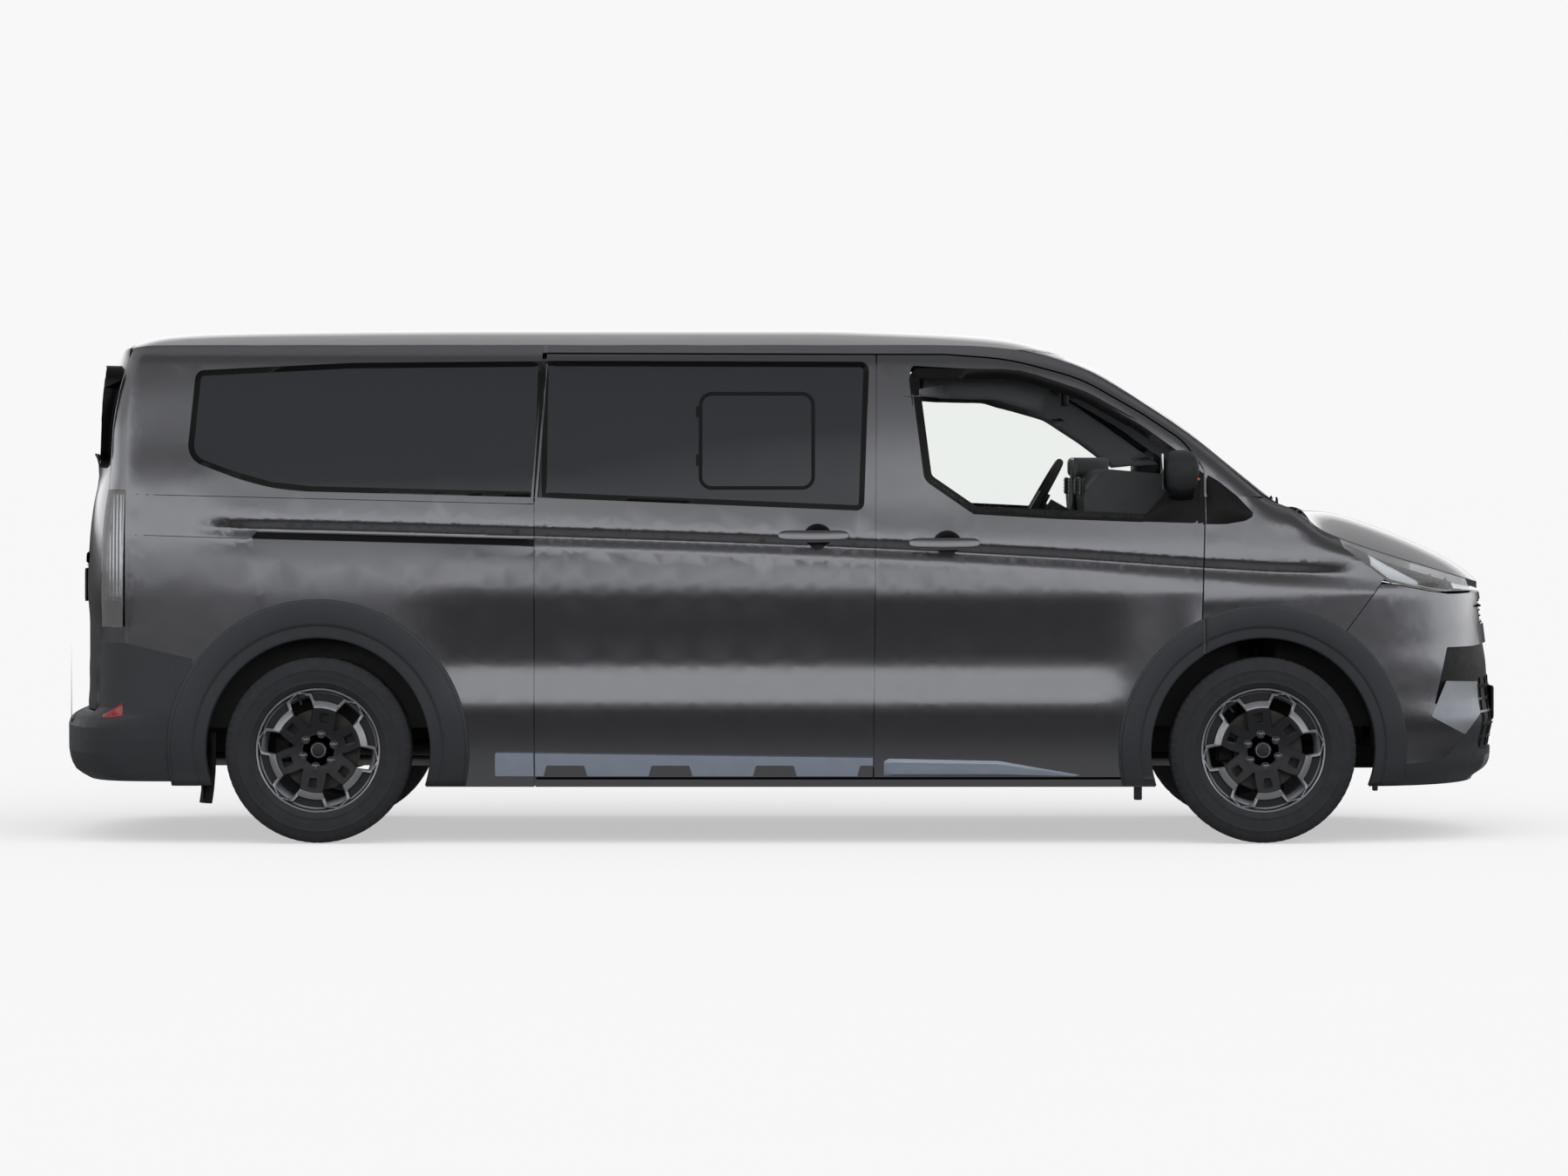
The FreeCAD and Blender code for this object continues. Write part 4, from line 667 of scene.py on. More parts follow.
RECIPES = {
    "paint": lambda: metallic_clearcoat(bpy.context.scene.minibus.paint_colour),
    "frame": primed_steel,
    "cladding": lambda: grained_polypropylene("grained_polypropylene", "#33363a", "#393c40"),
    "plastic": lambda: grained_polypropylene("fine_grained_polypropylene", "#202224", "#26282a", 1.6),
    "mesh": lambda: grained_polypropylene("moulded_mesh_polypropylene", "#121314", "#1a1b1c", 6.0, (0.5, 0.6)),
    "piano": lambda: gloss_acrylic("piano_black_acrylic", "#08090a"),
    "privacy": lambda: float_glass("privacy_glass", "#2c3036", "#5c6168"),
    "clear": lambda: float_glass("green_tinted_glass", "#10120f", "#fefffe"),
    "frit": ceramic_frit,
    "seal": lambda: rubber("extruded_epdm", "#0e0f0f", "#17181a", 1.5, 0.1),
    "tyre": lambda: rubber("tyre_rubber", "#2a2b2e", "#38393d", 1.0, 0.15, 0.82),
    "alloy_front": lambda: turned_metal("machined_aluminium_front", "#c4c6ca", "#d8d9dc", FRONT_AXLE, 1.6, 0.04,
                                        (0.36, 0.46)),
    "alloy_rear": lambda: turned_metal("machined_aluminium_rear", "#c4c6ca", "#d8d9dc", REAR_AXLE, 1.6, 0.04,
                                       (0.36, 0.46)),
    "enamel": lambda: gloss_acrylic("black_wheel_enamel", "#222326", (0.3, 0.4)),
    "nuts": lambda: plated_zinc("blackened_zinc", "#7a7c80", "#96989c"),
    "matt": lambda: grained_polypropylene("matt_black_polypropylene", "#050506", "#0a0a0b", 1.6, (0.45, 0.55)),
    "disc_front": lambda: turned_metal("turned_iron_front", "#4f4e4c", "#63615e", FRONT_AXLE, 1.8, 0.05, (0.3, 0.42)),
    "disc_rear": lambda: turned_metal("turned_iron_rear", "#4f4e4c", "#63615e", REAR_AXLE, 1.8, 0.05, (0.3, 0.42)),
    "iron": lambda: coated_iron("waxed_iron", "#131313", "#1d1c1b"),
    "engine": lambda: coated_iron("cast_aluminium_alloy", "#3a3b3c", "#4b4c4d"),
    "lens": clear_polycarbonate,
    "reflector": metallised_reflector,
    "ribbed": lambda: metallised_reflector("ribbed_reflector", "#d5d8dc", "#f0f2f4", 14.0),
    "guide": light_guide,
    "bezel": lambda: metallised_reflector("smoked_chrome", "#26272a", "#3a3c40"),
    "red": lambda: coloured_acrylic("red_acrylic", "#4a0508", "#b3151c", 0.12),
    "amber": lambda: coloured_acrylic("amber_acrylic", "#8a3c05", "#e0801a", 0.1),
    "trim": lambda: satin_paint("blue_silver_paint", "#98a3b2", "#a8b3c2", 0.3, (0.3, 0.4)),
    "silver": lambda: satin_paint("silver_paint", "#a2a6af", "#b2b6be", 0.4),
    "zinc": plated_zinc,
    "mirror": lambda: satin_paint("silvered_mirror", "#d6dade", "#e4e7ea", 1.0, (0.01, 0.03)),
    "cloth": lambda: woven_fabric("woven_polyester", "#2b2c30", "#3c3e43"),
    "insert": lambda: woven_fabric("ribbed_polyester", "#1f2023", "#2c2e32", 4.5),
    "leather": lambda: leather_grain("embossed_leather", "#151516", "#1e1f21"),
    "dash": lambda: leather_grain("slush_moulded_skin", "#37383c", "#45464b"),
    "trimcard": lambda: leather_grain("pressed_door_card", "#232427", "#2e2f32"),
    "headliner": lambda: needled_felt("headliner_felt", "#8f8d88", "#a09e99"),
    "pillar": lambda: needled_felt("pillar_felt", "#505155", "#5e5f63"),
    "exhaust": heat_dulled_steel,
    "tank": lambda: grained_polypropylene("blow_moulded_polyethylene", "#151617", "#1c1d1e", 5.0, (0.5, 0.65)),
    "plate": plate_sheet,
}

# what each carried-over solid is made of
NODE_FINISHES = {
    "paint": ("side_frames", "rear_quarters", "sliding_doors", "front_fenders", "front_door_right", "front_door_left",
              "roof_panel", "hood", "tailgate", "front_bumper", "sliding_door_handles", "door_handle_right",
              "door_handle_left"),
    "frame": ("floor_pan",),
    "cladding": ("rear_bumper", "bumper_lip", "arch_cladding", "door_trim_right", "door_trim_left"),
    "plastic": ("cowl_panel", "arch_liners", "door_mirror_right", "door_mirror_left"),
    "mesh": ("grilles",),
    "dash": ("dashboard",),
    "trim": ("sill_trims",),
    "silver": ("bumper_silver",),
    "privacy": ("side_glass", "tailgate_glass"),
    "clear": ("windscreen", "door_glass_right", "door_glass_left"),
    "lens": ("head_lamps", "tail_lamps"),
    "seal": ("door_seals",),
    "tyre": ("tyre_front_right", "tyre_front_left", "tyre_rear_right", "tyre_rear_left"),
    "alloy_front": ("rim_front_right", "rim_front_left"),
    "alloy_rear": ("rim_rear_right", "rim_rear_left"),
    "disc_front": ("brake_disc_front_right", "brake_disc_front_left"),
    "disc_rear": ("brake_disc_rear_right", "brake_disc_rear_left"),
    "iron": ("knuckle_right", "knuckle_left", "front_suspension", "rear_axle"),
    "engine": ("engine_block",),
    "exhaust": ("exhaust",),
    "tank": ("fuel_tank",),
    "leather": ("steering_wheel",),
    "cloth": ("front_seats", "rear_seats"),
}


# ---- wheels and tyres


def between(points, x):
    """Straight-line interpolation through (x, value) pairs."""
    for (a, u), (b, v) in zip(points, points[1:]):
        if x <= b:
            return u + (v - u) * max(0.0, (x - a) / (b - a))
    return points[-1][1]


# one bar of the wheel: its half angle in degrees and its depth behind the face plane, by radius
BAR_HALF_ANGLE = [(76, 29.6), (89, 29), (158, 15.7), (212, 20.3), (220, 29.6), (240, 29.6)]
FACE_DEPTH = [(30, -22), (60, -22), (76, -20), (120, -9), (158, 0), (170, -4), (183, -10), (205, -7), (222, -2),
              (224, 0), (229, 2), (234, 0)]
FACE_ROWS = [30, 45, 60, 76, 82, 89, 96, 104, 112, 122, 132, 140, 147, 158, 164, 170, 177, 183, 186, 195, 205, 212,
             217, 221, 224, 226, 229, 232, 234]
FACE_PLANE = 88.0
# the radii between which a bar has its slot, a window is open and the face falls back before the rim
SLOT_FROM, SLOT_TO = 184, 219
WINDOW_FROM, WINDOW_TO = 89, 212
STEP_FROM, STEP_TO = 205, 223
NUT_CIRCLE = 60


def wheel_face(turn):
    """Six sculpted bars between windows, machined on their outer faces and black in their pockets."""
    shape, wide = Shape(), 10
    for sector in range(6):
        for hand in (1, -1):
            rows = []
            for r in FACE_ROWS:
                s = between(BAR_HALF_ANGLE, r)
                slot = min(7.0, s - 6)
                columns = [0, slot / 2, slot, (slot + s - 4.4) / 2, s - 4.4, s - 3.6, s - 1.8, s, (s + 30) / 2, 30]
                row = []
                for k, u in enumerate(columns):
                    depth = between(FACE_DEPTH, r)
                    if k <= 4 and SLOT_FROM < r < SLOT_TO:
                        depth = -24
                    if k == 7 and WINDOW_FROM < r < WINDOW_TO:
                        depth -= 4
                    if k >= 8 and STEP_FROM < r < STEP_TO:
                        depth -= 9
                    a = math.radians(turn + 60 * sector + hand * u)
                    row.append(Vector((r * math.cos(a), -(FACE_PLANE + depth), r * math.sin(a))))
                rows.append(row)
            points, faces = grid(rows)
            for face in faces:
                i, k = face[0] // wide, face[0] % wide
                r = (FACE_ROWS[i] + FACE_ROWS[i + 1]) / 2
                if (k >= 7 and WINDOW_FROM < r < WINDOW_TO) or (k < 2 and 104 < r < 140):
                    continue
                bright = 224 < r < 234 or (158 < r < 183 and k < 7) or (183 <= r < 224 and 5 <= k < 7)
                shape.add([points[n] for n in (face if hand > 0 else face[::-1])], [[0, 1, 2, 3]], 0 if bright else 1)
    return shape


def wheel_parts(turn):
    """The barrel, hub, nuts, cap and valve behind and in the wheel's face."""
    barrel = [(234, -88), (237, -92), (240, -94), (241, -90), (238, -84), (228, -78), (222, -74), (214, -58),
              (204, -20), (204, 50), (216, 84), (229, 94), (235, 98), (232, 86), (220, 76), (196, 52), (196, -20),
              (208, -60), (222, -72), (229, -80)]
    shape = Shape().add(*lathe(barrel, 96, True), 2)
    shape.add(*lathe([(30, -66), (58, -66), (74, -67), (76, -64), (76, -10), (40, -8)], 48), 1)
    shape.add(*lathe([(0.5, -74), (14, -74), (27, -72.5), (31, -69), (31, -62)], 48), 1)
    shape.add(*lathe([(24, -73.2), (25, -73.8), (26, -73.2)], 48), 0)
    for k in range(6):
        a = math.radians(turn + 60 * k)
        move = Matrix.Translation((NUT_CIRCLE * math.cos(a), 0, NUT_CIRCLE * math.sin(a)))
        nut = Shape().add(*lathe([(0.5, -81), (7, -81), (11, -79), (12.5, -76), (12.5, -64)], 6), 3)
        nut.add(*lathe([(12.5, -69), (15, -68), (15.5, -65)], 24), 3)
        shape.join(nut, move)
    a = math.radians(turn + 30)
    foot, tip = Vector((206 * math.cos(a), -62, 206 * math.sin(a))), Vector((178 * math.cos(a), -74, 178 * math.sin(a)))
    shape.join(tube([foot, foot.lerp(tip, 0.6), foot.lerp(tip, 0.62), tip], [5, 4, 5.5, 5], 10, kind=1))
    return shape


# the tread by distance from its middle, its radius there, and how deep its grooves and cuts go
TREAD = [0, 13, 26, 27, 33, 34, 46, 58, 59, 65, 66, 73, 80]
TREAD_RADIUS = 345
GROOVE_DEPTH, SHOULDER_CUT, EDGE_CUT, SIPE_DEPTH = 7, 5, 4.5, 2.5


def tyre():
    """A road tyre: grooved tread with cut shoulder blocks and ribbed, blank sidewalls."""
    side = [(229, 84), (231, 92), (238, 98), (250, 102), (252, 104), (254, 103), (268, 106), (285, 107.3), (297, 106),
            (299, 107), (301, 105.5), (312, 103), (322, 99.5), (331, 95.5), (338, 90), (343, 84.5)]
    profile = [(r, w) for r, w in side] + [(0, w) for w in reversed(TREAD)] + [(0, -w) for w in TREAD[1:]]
    profile += [(r, -w) for r, w in reversed(side)]
    profile += [(222, -78), (222, 78)]
    count, rows = 288, []
    for k in range(count):
        a = 2 * math.pi * k / count
        row = []
        for r, w in profile:
            cut = k % 4 == 0
            if r == 0:
                r = TREAD_RADIUS - 0.00045 * w * w
                groove = 27 <= abs(w) <= 33 or 59 <= abs(w) <= 65
                if groove:
                    r -= GROOVE_DEPTH
                elif cut and abs(w) >= 34:
                    r -= SHOULDER_CUT
                elif k % 8 == 4 and abs(w) < 27:
                    r -= SIPE_DEPTH
            elif 322 < r < TREAD_RADIUS and cut:
                r -= EDGE_CUT
            slant = a + 0.0016 * max(0, abs(w) - 34) * (1 if w > 0 else -1) * (abs(w) < 81)
            row.append(Vector((r * math.cos(slant), w, r * math.sin(slant))))
        rows.append(row)
    return Shape().add(*grid(rows, True, True))


class MINIBUS_OT_wheels(bpy.types.Operator):
    """Alloy wheels with six bars, and their tyres"""

    bl_idname = "minibus.wheels"
    bl_label = "Wheels"

    def execute(self, context):
        props = context.scene.minibus
        rubber_ring = tyre()
        for end, axle, turn in (("front", FRONT_AXLE, props.front_wheel_turn),
                                ("rear", REAR_AXLE, props.rear_wheel_turn)):
            face, parts = wheel_face(turn), wheel_parts(turn)
            finishes = [finish("alloy_" + end), finish("enamel"), finish("silver"), finish("nuts")]
            for side, hand in SIDES.items():
                name = "%s_%s" % (end, side)
                low, high = node_box("tyre_" + name)
                move = Matrix.Translation((axle, (low.y + high.y) / 2, HUB_HEIGHT))
                for title, source, thick in (("wheel_face_", face, 14), ("wheel_barrel_", parts, None)):
                    make(title + name, Shape().join(handed(source, hand), move), "wheel_" + name,
                         finishes, ["rim_" + name], thick=thick, bevel=1.0 if thick else None)
                make("road_tyre_" + name, Shape().join(rubber_ring, move), "wheel_" + name, [finish("tyre")],
                     ["tyre_" + name], sharp=50)
        return {"FINISHED"}


# ---- cladding, glass edges and trim on the body's skin

SKINS = {}


def skin(*names):
    """The search tree over these nodes, kept for the next piece that lies on them."""
    if names not in SKINS:
        SKINS[names] = skin_of(*names)
    return SKINS[names]


BODY_SKIN = ("rear_quarters", "sliding_doors", "front_fenders", "side_frames", "rear_bumper", "front_bumper",
             "bumper_lip", "front_door_right")
# the arch cladding's outer radii, its inner radius, and the height at which its ends are cut off
REAR_CLADDING_RADIUS, FRONT_CLADDING_RADIUS, CLADDING_INNER_RADIUS, CLADDING_FOOT = 561, 538, 417.0, 213
# how far it stands off the skin, by share of its width from the inner rim outwards
CLADDING_LIFT = [(-0.02, -24), (0.0, -22), (0.005, 1), (0.02, 2.5), (0.06, 3.5), (0.30, 5), (0.36, 13), (0.40, 14.5),
                 (0.86, 16), (0.89, 15.6), (0.91, 10), (0.925, 9.6), (0.965, 9), (0.99, 6.5), (1.0, 0.5)]


def arch_band(axle, outer, from_angle, to_angle):
    """One moulded arch cladding, swept between two angles that may depend on the radius."""
    tree, inner = skin(*BODY_SKIN), CLADDING_INNER_RADIUS
    count, columns, usual = 64, [], -960.0
    for i in range(count + 1):
        column, y = [], None
        for share, lift in reversed(CLADDING_LIFT):
            r = inner + (outer - inner) * share
            a = math.radians(from_angle(r) + (to_angle(r) - from_angle(r)) * i / count)
            x, z = axle + r * math.cos(a), HUB_HEIGHT + r * math.sin(a)
            hit = tree.ray_cast(Vector((x, -2000, z)), Vector((0, 1, 0)))[0] if r > 421 else None
            if hit is not None and (y is None or abs(hit.y - y) < 25):
                y = hit.y
            column.append((x, y, z, lift))
        found = [c[1] for c in column if c[1] is not None]
        usual = found[0] if found else usual
        columns.append([Vector((x, (usual if y is None else y) - lift, z)) for x, y, z, lift in column])
    return Shape().add(*grid(columns))


def low_angle(r):
    """The angle at which a cladding of this radius meets its foot, below the hub."""
    return -math.degrees(math.asin((HUB_HEIGHT - CLADDING_FOOT) / r))


class MINIBUS_OT_cladding(bpy.types.Operator):
    """Dark arch cladding with its ridge, and the sill trims on the doors"""

    bl_idname = "minibus.cladding"
    bl_label = "Arch cladding"

    def execute(self, context):
        black = [finish("cladding")]
        shut = node_box("front_door_right")[1].x
        split = lambda gap: (lambda r: math.degrees(math.acos((shut + gap - FRONT_AXLE) / r)))
        rear = arch_band(REAR_AXLE, REAR_CLADDING_RADIUS, low_angle, lambda r: 180 - low_angle(r))
        make("rear_arch_cladding", rear.doubled(), "body", black, ["arch_cladding"], thick=2.5)
        fender = arch_band(FRONT_AXLE, FRONT_CLADDING_RADIUS, low_angle, split(4))
        make("fender_arch_cladding", fender.doubled(), "body", black, ["arch_cladding"], thick=2.5)
        door = arch_band(FRONT_AXLE, FRONT_CLADDING_RADIUS, split(-3), lambda r: 180 - low_angle(r))
        tree = skin("front_door_right")
        strip = [(372, 251), (1098, 253)], [(372, 316), (798, 307), (1098, 254)]
        strip = sheet(tree, "right", *([Vector(p) for p in side] for side in strip), 11, 6, 40, kind=1)
        for side, hand in SIDES.items():
            body = "front_door_" + side
            both = Shape().join(door).join(strip)
            make("door_cladding_" + side, handed(both, hand), body,
                 [finish("cladding"), finish("trim")], ["door_trim_" + side])
        return {"FINISHED"}


def path(*points):
    """A path of vectors, from bare pairs or triples."""
    return [Vector(p) for p in points]


# the panes' outlines as seen from the right: (x, z, corner radius)
QUARTER_PANE = [(-911, 1292), (-1285, 1301, 3000), (-1898, 1317, 900), (-2198, 1428, 70), (-2170, 1742, 24),
                (-1600, 1770, 700), (-899, 1776)]
SLIDING_PANE = [(-885, 1291), (289, 1242, 20), (308, 1774, 22), (-880, 1778)]
FRONT_PANE = [(482, 1742, 24), (532, 1352, 46), (706, 1232, 50), (1330, 1202), (1525, 1196, 10), (1525, 1398, 50),
              (1325, 1540, 500), (1115, 1658, 400), (876, 1738, 400)]
OPENING_PANE = [(-306, 1317, 42), (111, 1317, 42), (111, 1666, 42), (-306, 1666, 42)]


class MINIBUS_OT_glazing(bpy.types.Operator):
    """Ceramic borders, rubber edges and the black panels round the glass"""

    bl_idname = "minibus.glazing"
    bl_label = "Glass edges"

    def execute(self, context):
        frit, seal = finish("frit"), finish("seal")
        self.edge_side_glass(frit, seal)
        self.edge_front_doors(frit, seal)
        self.edge_screens(frit)
        return {"FINISHED"}

    def edge_side_glass(self, frit, seal):
        """Borders of the fixed side panes, the opening pane's frame, and a black strip in the sliding doors' rail slot,
        laid there as painted shade of the slot.
        """
        side = skin("side_glass")
        borders = Shape()
        for pane in (QUARTER_PANE, SLIDING_PANE):
            borders.join(ribbon(side, "right", rounded(pane), 11, 0.3, True, 40, 0.1))
        make("side_glass_borders", borders.doubled(), "body", [frit])
        opening = ribbon(side, "right", rounded(OPENING_PANE), 7, 2.2, True, 25, 0.3)
        for z in (1400, 1580):
            opening.join(ribbon(side, "right", path((-318, z), (-318, z + 40)), 4, 5.0, False, 12))
        make("opening_pane_frames", opening.doubled(), "body", [seal])
        rail = skin("rear_quarters")
        # a black rubber strip on the slot's floor: painted shade, darkening the rail slot where its own shade would
        # fall
        slot_shade = ribbon(rail, "right", path((-1962, 1141.5), (-922, 1114)), 12.5, 0.8, False, 60, 0.02)
        seams = Shape()
        for line in (path((-2436, 1144), (-1976, 1129)), path((-2436, 1294), (-922, 1257))):
            seams.join(ribbon(rail, "right", line, 1.6, 0.25, False, 40, 0.4))
        make("slider_slot_shade_and_seams", slot_shade.join(seams).doubled(), "body", [seal])

    def edge_front_doors(self, frit, seal):
        """The front doors' borders and rubbers, and the black panels in front of them."""
        matt = finish("matt")
        door_skin = skin("door_glass_right", "front_door_right")
        pane = ribbon(skin("door_glass_right"), "right", rounded(FRONT_PANE), 19, 0.3, True, 30, 0.06)
        rubbers = ribbon(door_skin, "right", path((700, 1226), (1000, 1208), (1330, 1196)), 6, 3.0, False, 25)
        panel = sheet(door_skin, "right", path((1316, 1192), (1400, 1188), (1558, 1181)),
                      path((1324, 1200), (1405, 1290), (1480, 1374), (1522, 1408), (1558, 1370)), 1.0, 8, 28, 0, 12.0)
        post = sheet(skin("front_fenders", "side_frames"), "right",
                     path((1564, 1179), (1640, 1182), (1710, 1194), (1738, 1210)),
                     path((1564, 1374), (1610, 1345), (1680, 1288), (1739, 1226)), 1.4, 8, 24, 0, 12.0)
        make("pillar_panels", post.doubled(), "body", [matt])
        for name, hand in SIDES.items():
            for title, shape, made in (("door_glass_border_", pane, frit), ("door_glass_rubber_", rubbers, seal),
                                       ("mirror_panel_", panel, matt)):
                make(title + name, handed(shape, hand), "front_door_" + name, [made])

    def edge_screens(self, frit):
        """Borders of the windscreen and the tailgate's glass, and the gloss wings beside it."""
        screen = skin("windscreen")
        top = [(1035, 0), (1016, 420), (966, 640), (895, 790)]
        foot = [(1890, 0), (1873, 420), (1826, 700), (1770, 838)]
        edge = path(*[(x, -y) for x, y in reversed(top[1:])], *top)
        low = path(*[(x, -y) for x, y in reversed(foot[1:])], *foot)
        bands = sheet(screen, "top", edge, [p + Vector((46, 0)) for p in edge], 0.4, 2, 48)
        bands.join(sheet(screen, "top", [p - Vector((85, 0)) for p in low], low, 0.4, 2, 48))
        for hand in (-1, 1):
            ends = path((900, 790 * hand), (1330, 815 * hand), (1770, 835 * hand))
            bands.join(sheet(screen, "top", ends, [p - Vector((0, 34 * hand)) for p in ends], 0.4, 2, 40))
        make("windscreen_border", bands, "body", [frit])
        back = skin("tailgate_glass")
        rear = ribbon(back, "rear", rounded([(-766, 1404, 50), (766, 1404, 50), (724, 1760, 50), (-724, 1760, 50)]),
                      13, 0.3, True, 30, 0.1)
        make("tailgate_glass_border", rear, "tailgate", [frit])
        wing = sheet(skin("tailgate"), "rear", path((-777, 1414), (-740, 1750)), path((-794, 1414), (-754, 1750)), 0.6,
                     4, 40)
        make("tailgate_glass_wings", wing.doubled(), "tailgate", [finish("piano")])


class MINIBUS_OT_handles(bpy.types.Operator):
    """Bowed pull handles over their cups, and the flaps and tabs under the body"""

    bl_idname = "minibus.handles"
    bl_label = "Handles and flaps"

    def execute(self, context):
        bars = {}
        for node in ("sliding_door_handles", "door_handle_right"):
            low, high = node_box(node)
            middle, half, z = (low.x + high.x) / 2, (high.x - low.x) / 2, (low.z + high.z) / 2
            y = low.y + 3
            rows = []
            for k in range(29):
                t = -1 + 2 * k / 28
                full = max(0.02, 1 - abs(t) ** 9)
                tall = (19 + 4 * (1 - abs(t)) ** 0.5) * full ** 0.45
                deep = (8.5 + 4.5 * (1 - t * t)) * full ** 0.4
                out = y + 7 * abs(t) ** 3
                row = []
                for a in (2 * math.pi * n / 20 for n in range(20)):
                    rise = tall * math.copysign(abs(math.sin(a)) ** 0.55, math.sin(a))
                    push = deep * math.copysign(abs(math.cos(a)) ** 0.4, math.cos(a))
                    # the face leans back, so that it takes light from above the horizon
                    row.append(Vector((middle + t * half, out + push + 0.10 * rise, z - 2 * (1 - abs(t)) + rise)))
                rows.append(row)
            bar = loft(rows)
            for share in (-0.82, 0.82):
                x = middle + share * half
                bar.join(soft_box((30, 44, 24), 8, (x, y + 22, z), 3, 1))
            bars[node] = bar
        finishes = [finish("paint"), finish("plastic")]
        make("sliding_door_pulls", bars["sliding_door_handles"].doubled(), "body", finishes,
             ["sliding_door_handles"], sharp=60)
        bar = bars["door_handle_right"]
        for side, hand in SIDES.items():
            make("door_pull_" + side, handed(bar, hand), "front_door_" + side,
                 finishes, ["door_handle_" + side], sharp=60)
        rows = []
        for z, back in ((408, 0), (340, 0), (260, 3), (200, 8), (158, 14), (146, 16)):
            rows.append([Vector((x - back, y, z)) for x, y in ((-2160, -770), (-2158, -820), (-2148, -862),
                                                               (-2128, -892), (-2106, -908))])
        flap = Shape().add(*grid(rows))
        tabs = soft_box((30, 26, 62), 6, (1316, -905, 190), 2, 1)
        tabs.join(soft_box((20, 26, 44), 5, (2198, -880, 214), 2, 1))
        make("mud_flaps", flap.join(tabs).doubled(), "body", [finish("seal"), finish("plastic")], thick=5)
        return {"FINISHED"}


class MINIBUS_OT_mirrors(bpy.types.Operator):
    """Door mirrors with grained plastic shells, black feet, glass and a side repeater"""

    bl_idname = "minibus.mirrors"
    bl_label = "Door mirrors"

    def execute(self, context):
        sections = []
        for y, size, lean in ((-978, 0.55, 0), (-984, 0.8, 0), (-1000, 0.94, 0), (-1040, 1.0, 0), (-1085, 0.98, 2),
                              (-1115, 0.9, 4), (-1133, 0.74, 7), (-1142, 0.45, 10), (-1145, 0.05, 12)):
            ring = []
            for k in range(40):
                a = 2 * math.pi * k / 40
                c, s = math.cos(a), math.sin(a)
                u, v = math.copysign(abs(c) ** 0.62, c), math.copysign(abs(s) ** 0.62, s)
                taper = 1 - 0.13 * max(0, -v)
                ring.append(Vector((1462 + lean + u * 68 * size * taper, y, 1373 + v * 84 * size)))
            sections.append(ring)
        shell = loft(sections)
        for i, face in enumerate(shell.faces):
            if sum(shell.points[n].z for n in face) / len(face) < 1318:
                shell.kinds[i] = 1
        foot = []
        for y, z, long, tall in ((-905, 1282, 50, 13), (-950, 1282, 48, 13), (-985, 1286, 42, 12),
                                 (-1015, 1296, 40, 13), (-1040, 1312, 44, 16)):
            foot.append([Vector((1474 + long * math.cos(t), y, z + tall * math.sin(t)))
                         for t in (2 * math.pi * k / 24 for k in range(24))])
        shell.join(loft(foot, kind=1))
        glass = soft_box((4, 124, 132), 1.5, (1395.5, -1062, 1378), 2, 2)
        repeater = soft_box((10, 60, 9), 3, (1527, -1090, 1350), 2, 3)
        shell.join(glass).join(repeater)
        finishes = [finish("plastic"), finish("matt"), finish("mirror"), finish("amber")]
        for side, hand in SIDES.items():
            make("mirror_shell_" + side, handed(shell, hand), "front_door_" + side,
                 finishes, ["door_mirror_" + side], sharp=50)
        return {"FINISHED"}


# ---- lamps, nose and tail

# the headlamp's upper and lower edge as seen from the right: (x, z)
LAMP_TOP = [(2062, 1126), (2071, 1118), (2254, 1058), (2403, 1014), (2551, 972), (2660, 945)]
LAMP_BOTTOM = [(2062, 1120), (2078, 1098), (2256, 968), (2405, 940), (2490, 928), (2720, 928)]


def lamp_angle(share):
    """The direction out of the lamp: it turns from the side at its tail towards the front at its inner end."""
    return math.radians(-84 + 70 * share)


def lamp_point(tree, share, up, depth):
    """A point inside the headlamp: share runs from its tail to its inner end, up from bottom to top, depth inwards."""
    a = lamp_angle(share)
    way = Vector((math.cos(a), math.sin(a), 0))
    z = 1080 - 150 * share ** 0.6
    for _ in range(3):
        aim = Vector((2000, -430, z))
        hit = tree.ray_cast(aim + way * 1500, -way)[0]
        if hit is None:
            hit, _, _, _ = tree.find_nearest(aim + way * 550)
        z = between(LAMP_BOTTOM, hit.x) * (1 - up) + between(LAMP_TOP, hit.x) * up
    return Vector((hit.x, hit.y, z)) - way * depth


def lamp_sheet(tree, shares, ups, depth, across=8, along=30, bulge=0.0, kind=0):
    """A surface inside the headlamp, between two shares and two heights that may change along it."""
    rows = []
    for i in range(along + 1):
        t = shares[0] + (shares[1] - shares[0]) * i / along
        low, high = between(ups[0], t), between(ups[1], t)
        rows.append([lamp_point(tree, t, low + (high - low) * k / across,
                                depth - bulge * math.sin(math.pi * k / across)) for k in range(across + 1)])
    return Shape().add(*grid(rows), kind)


def flat(value):
    """The same height all along the lamp."""
    return [(0, value), (1, value)]


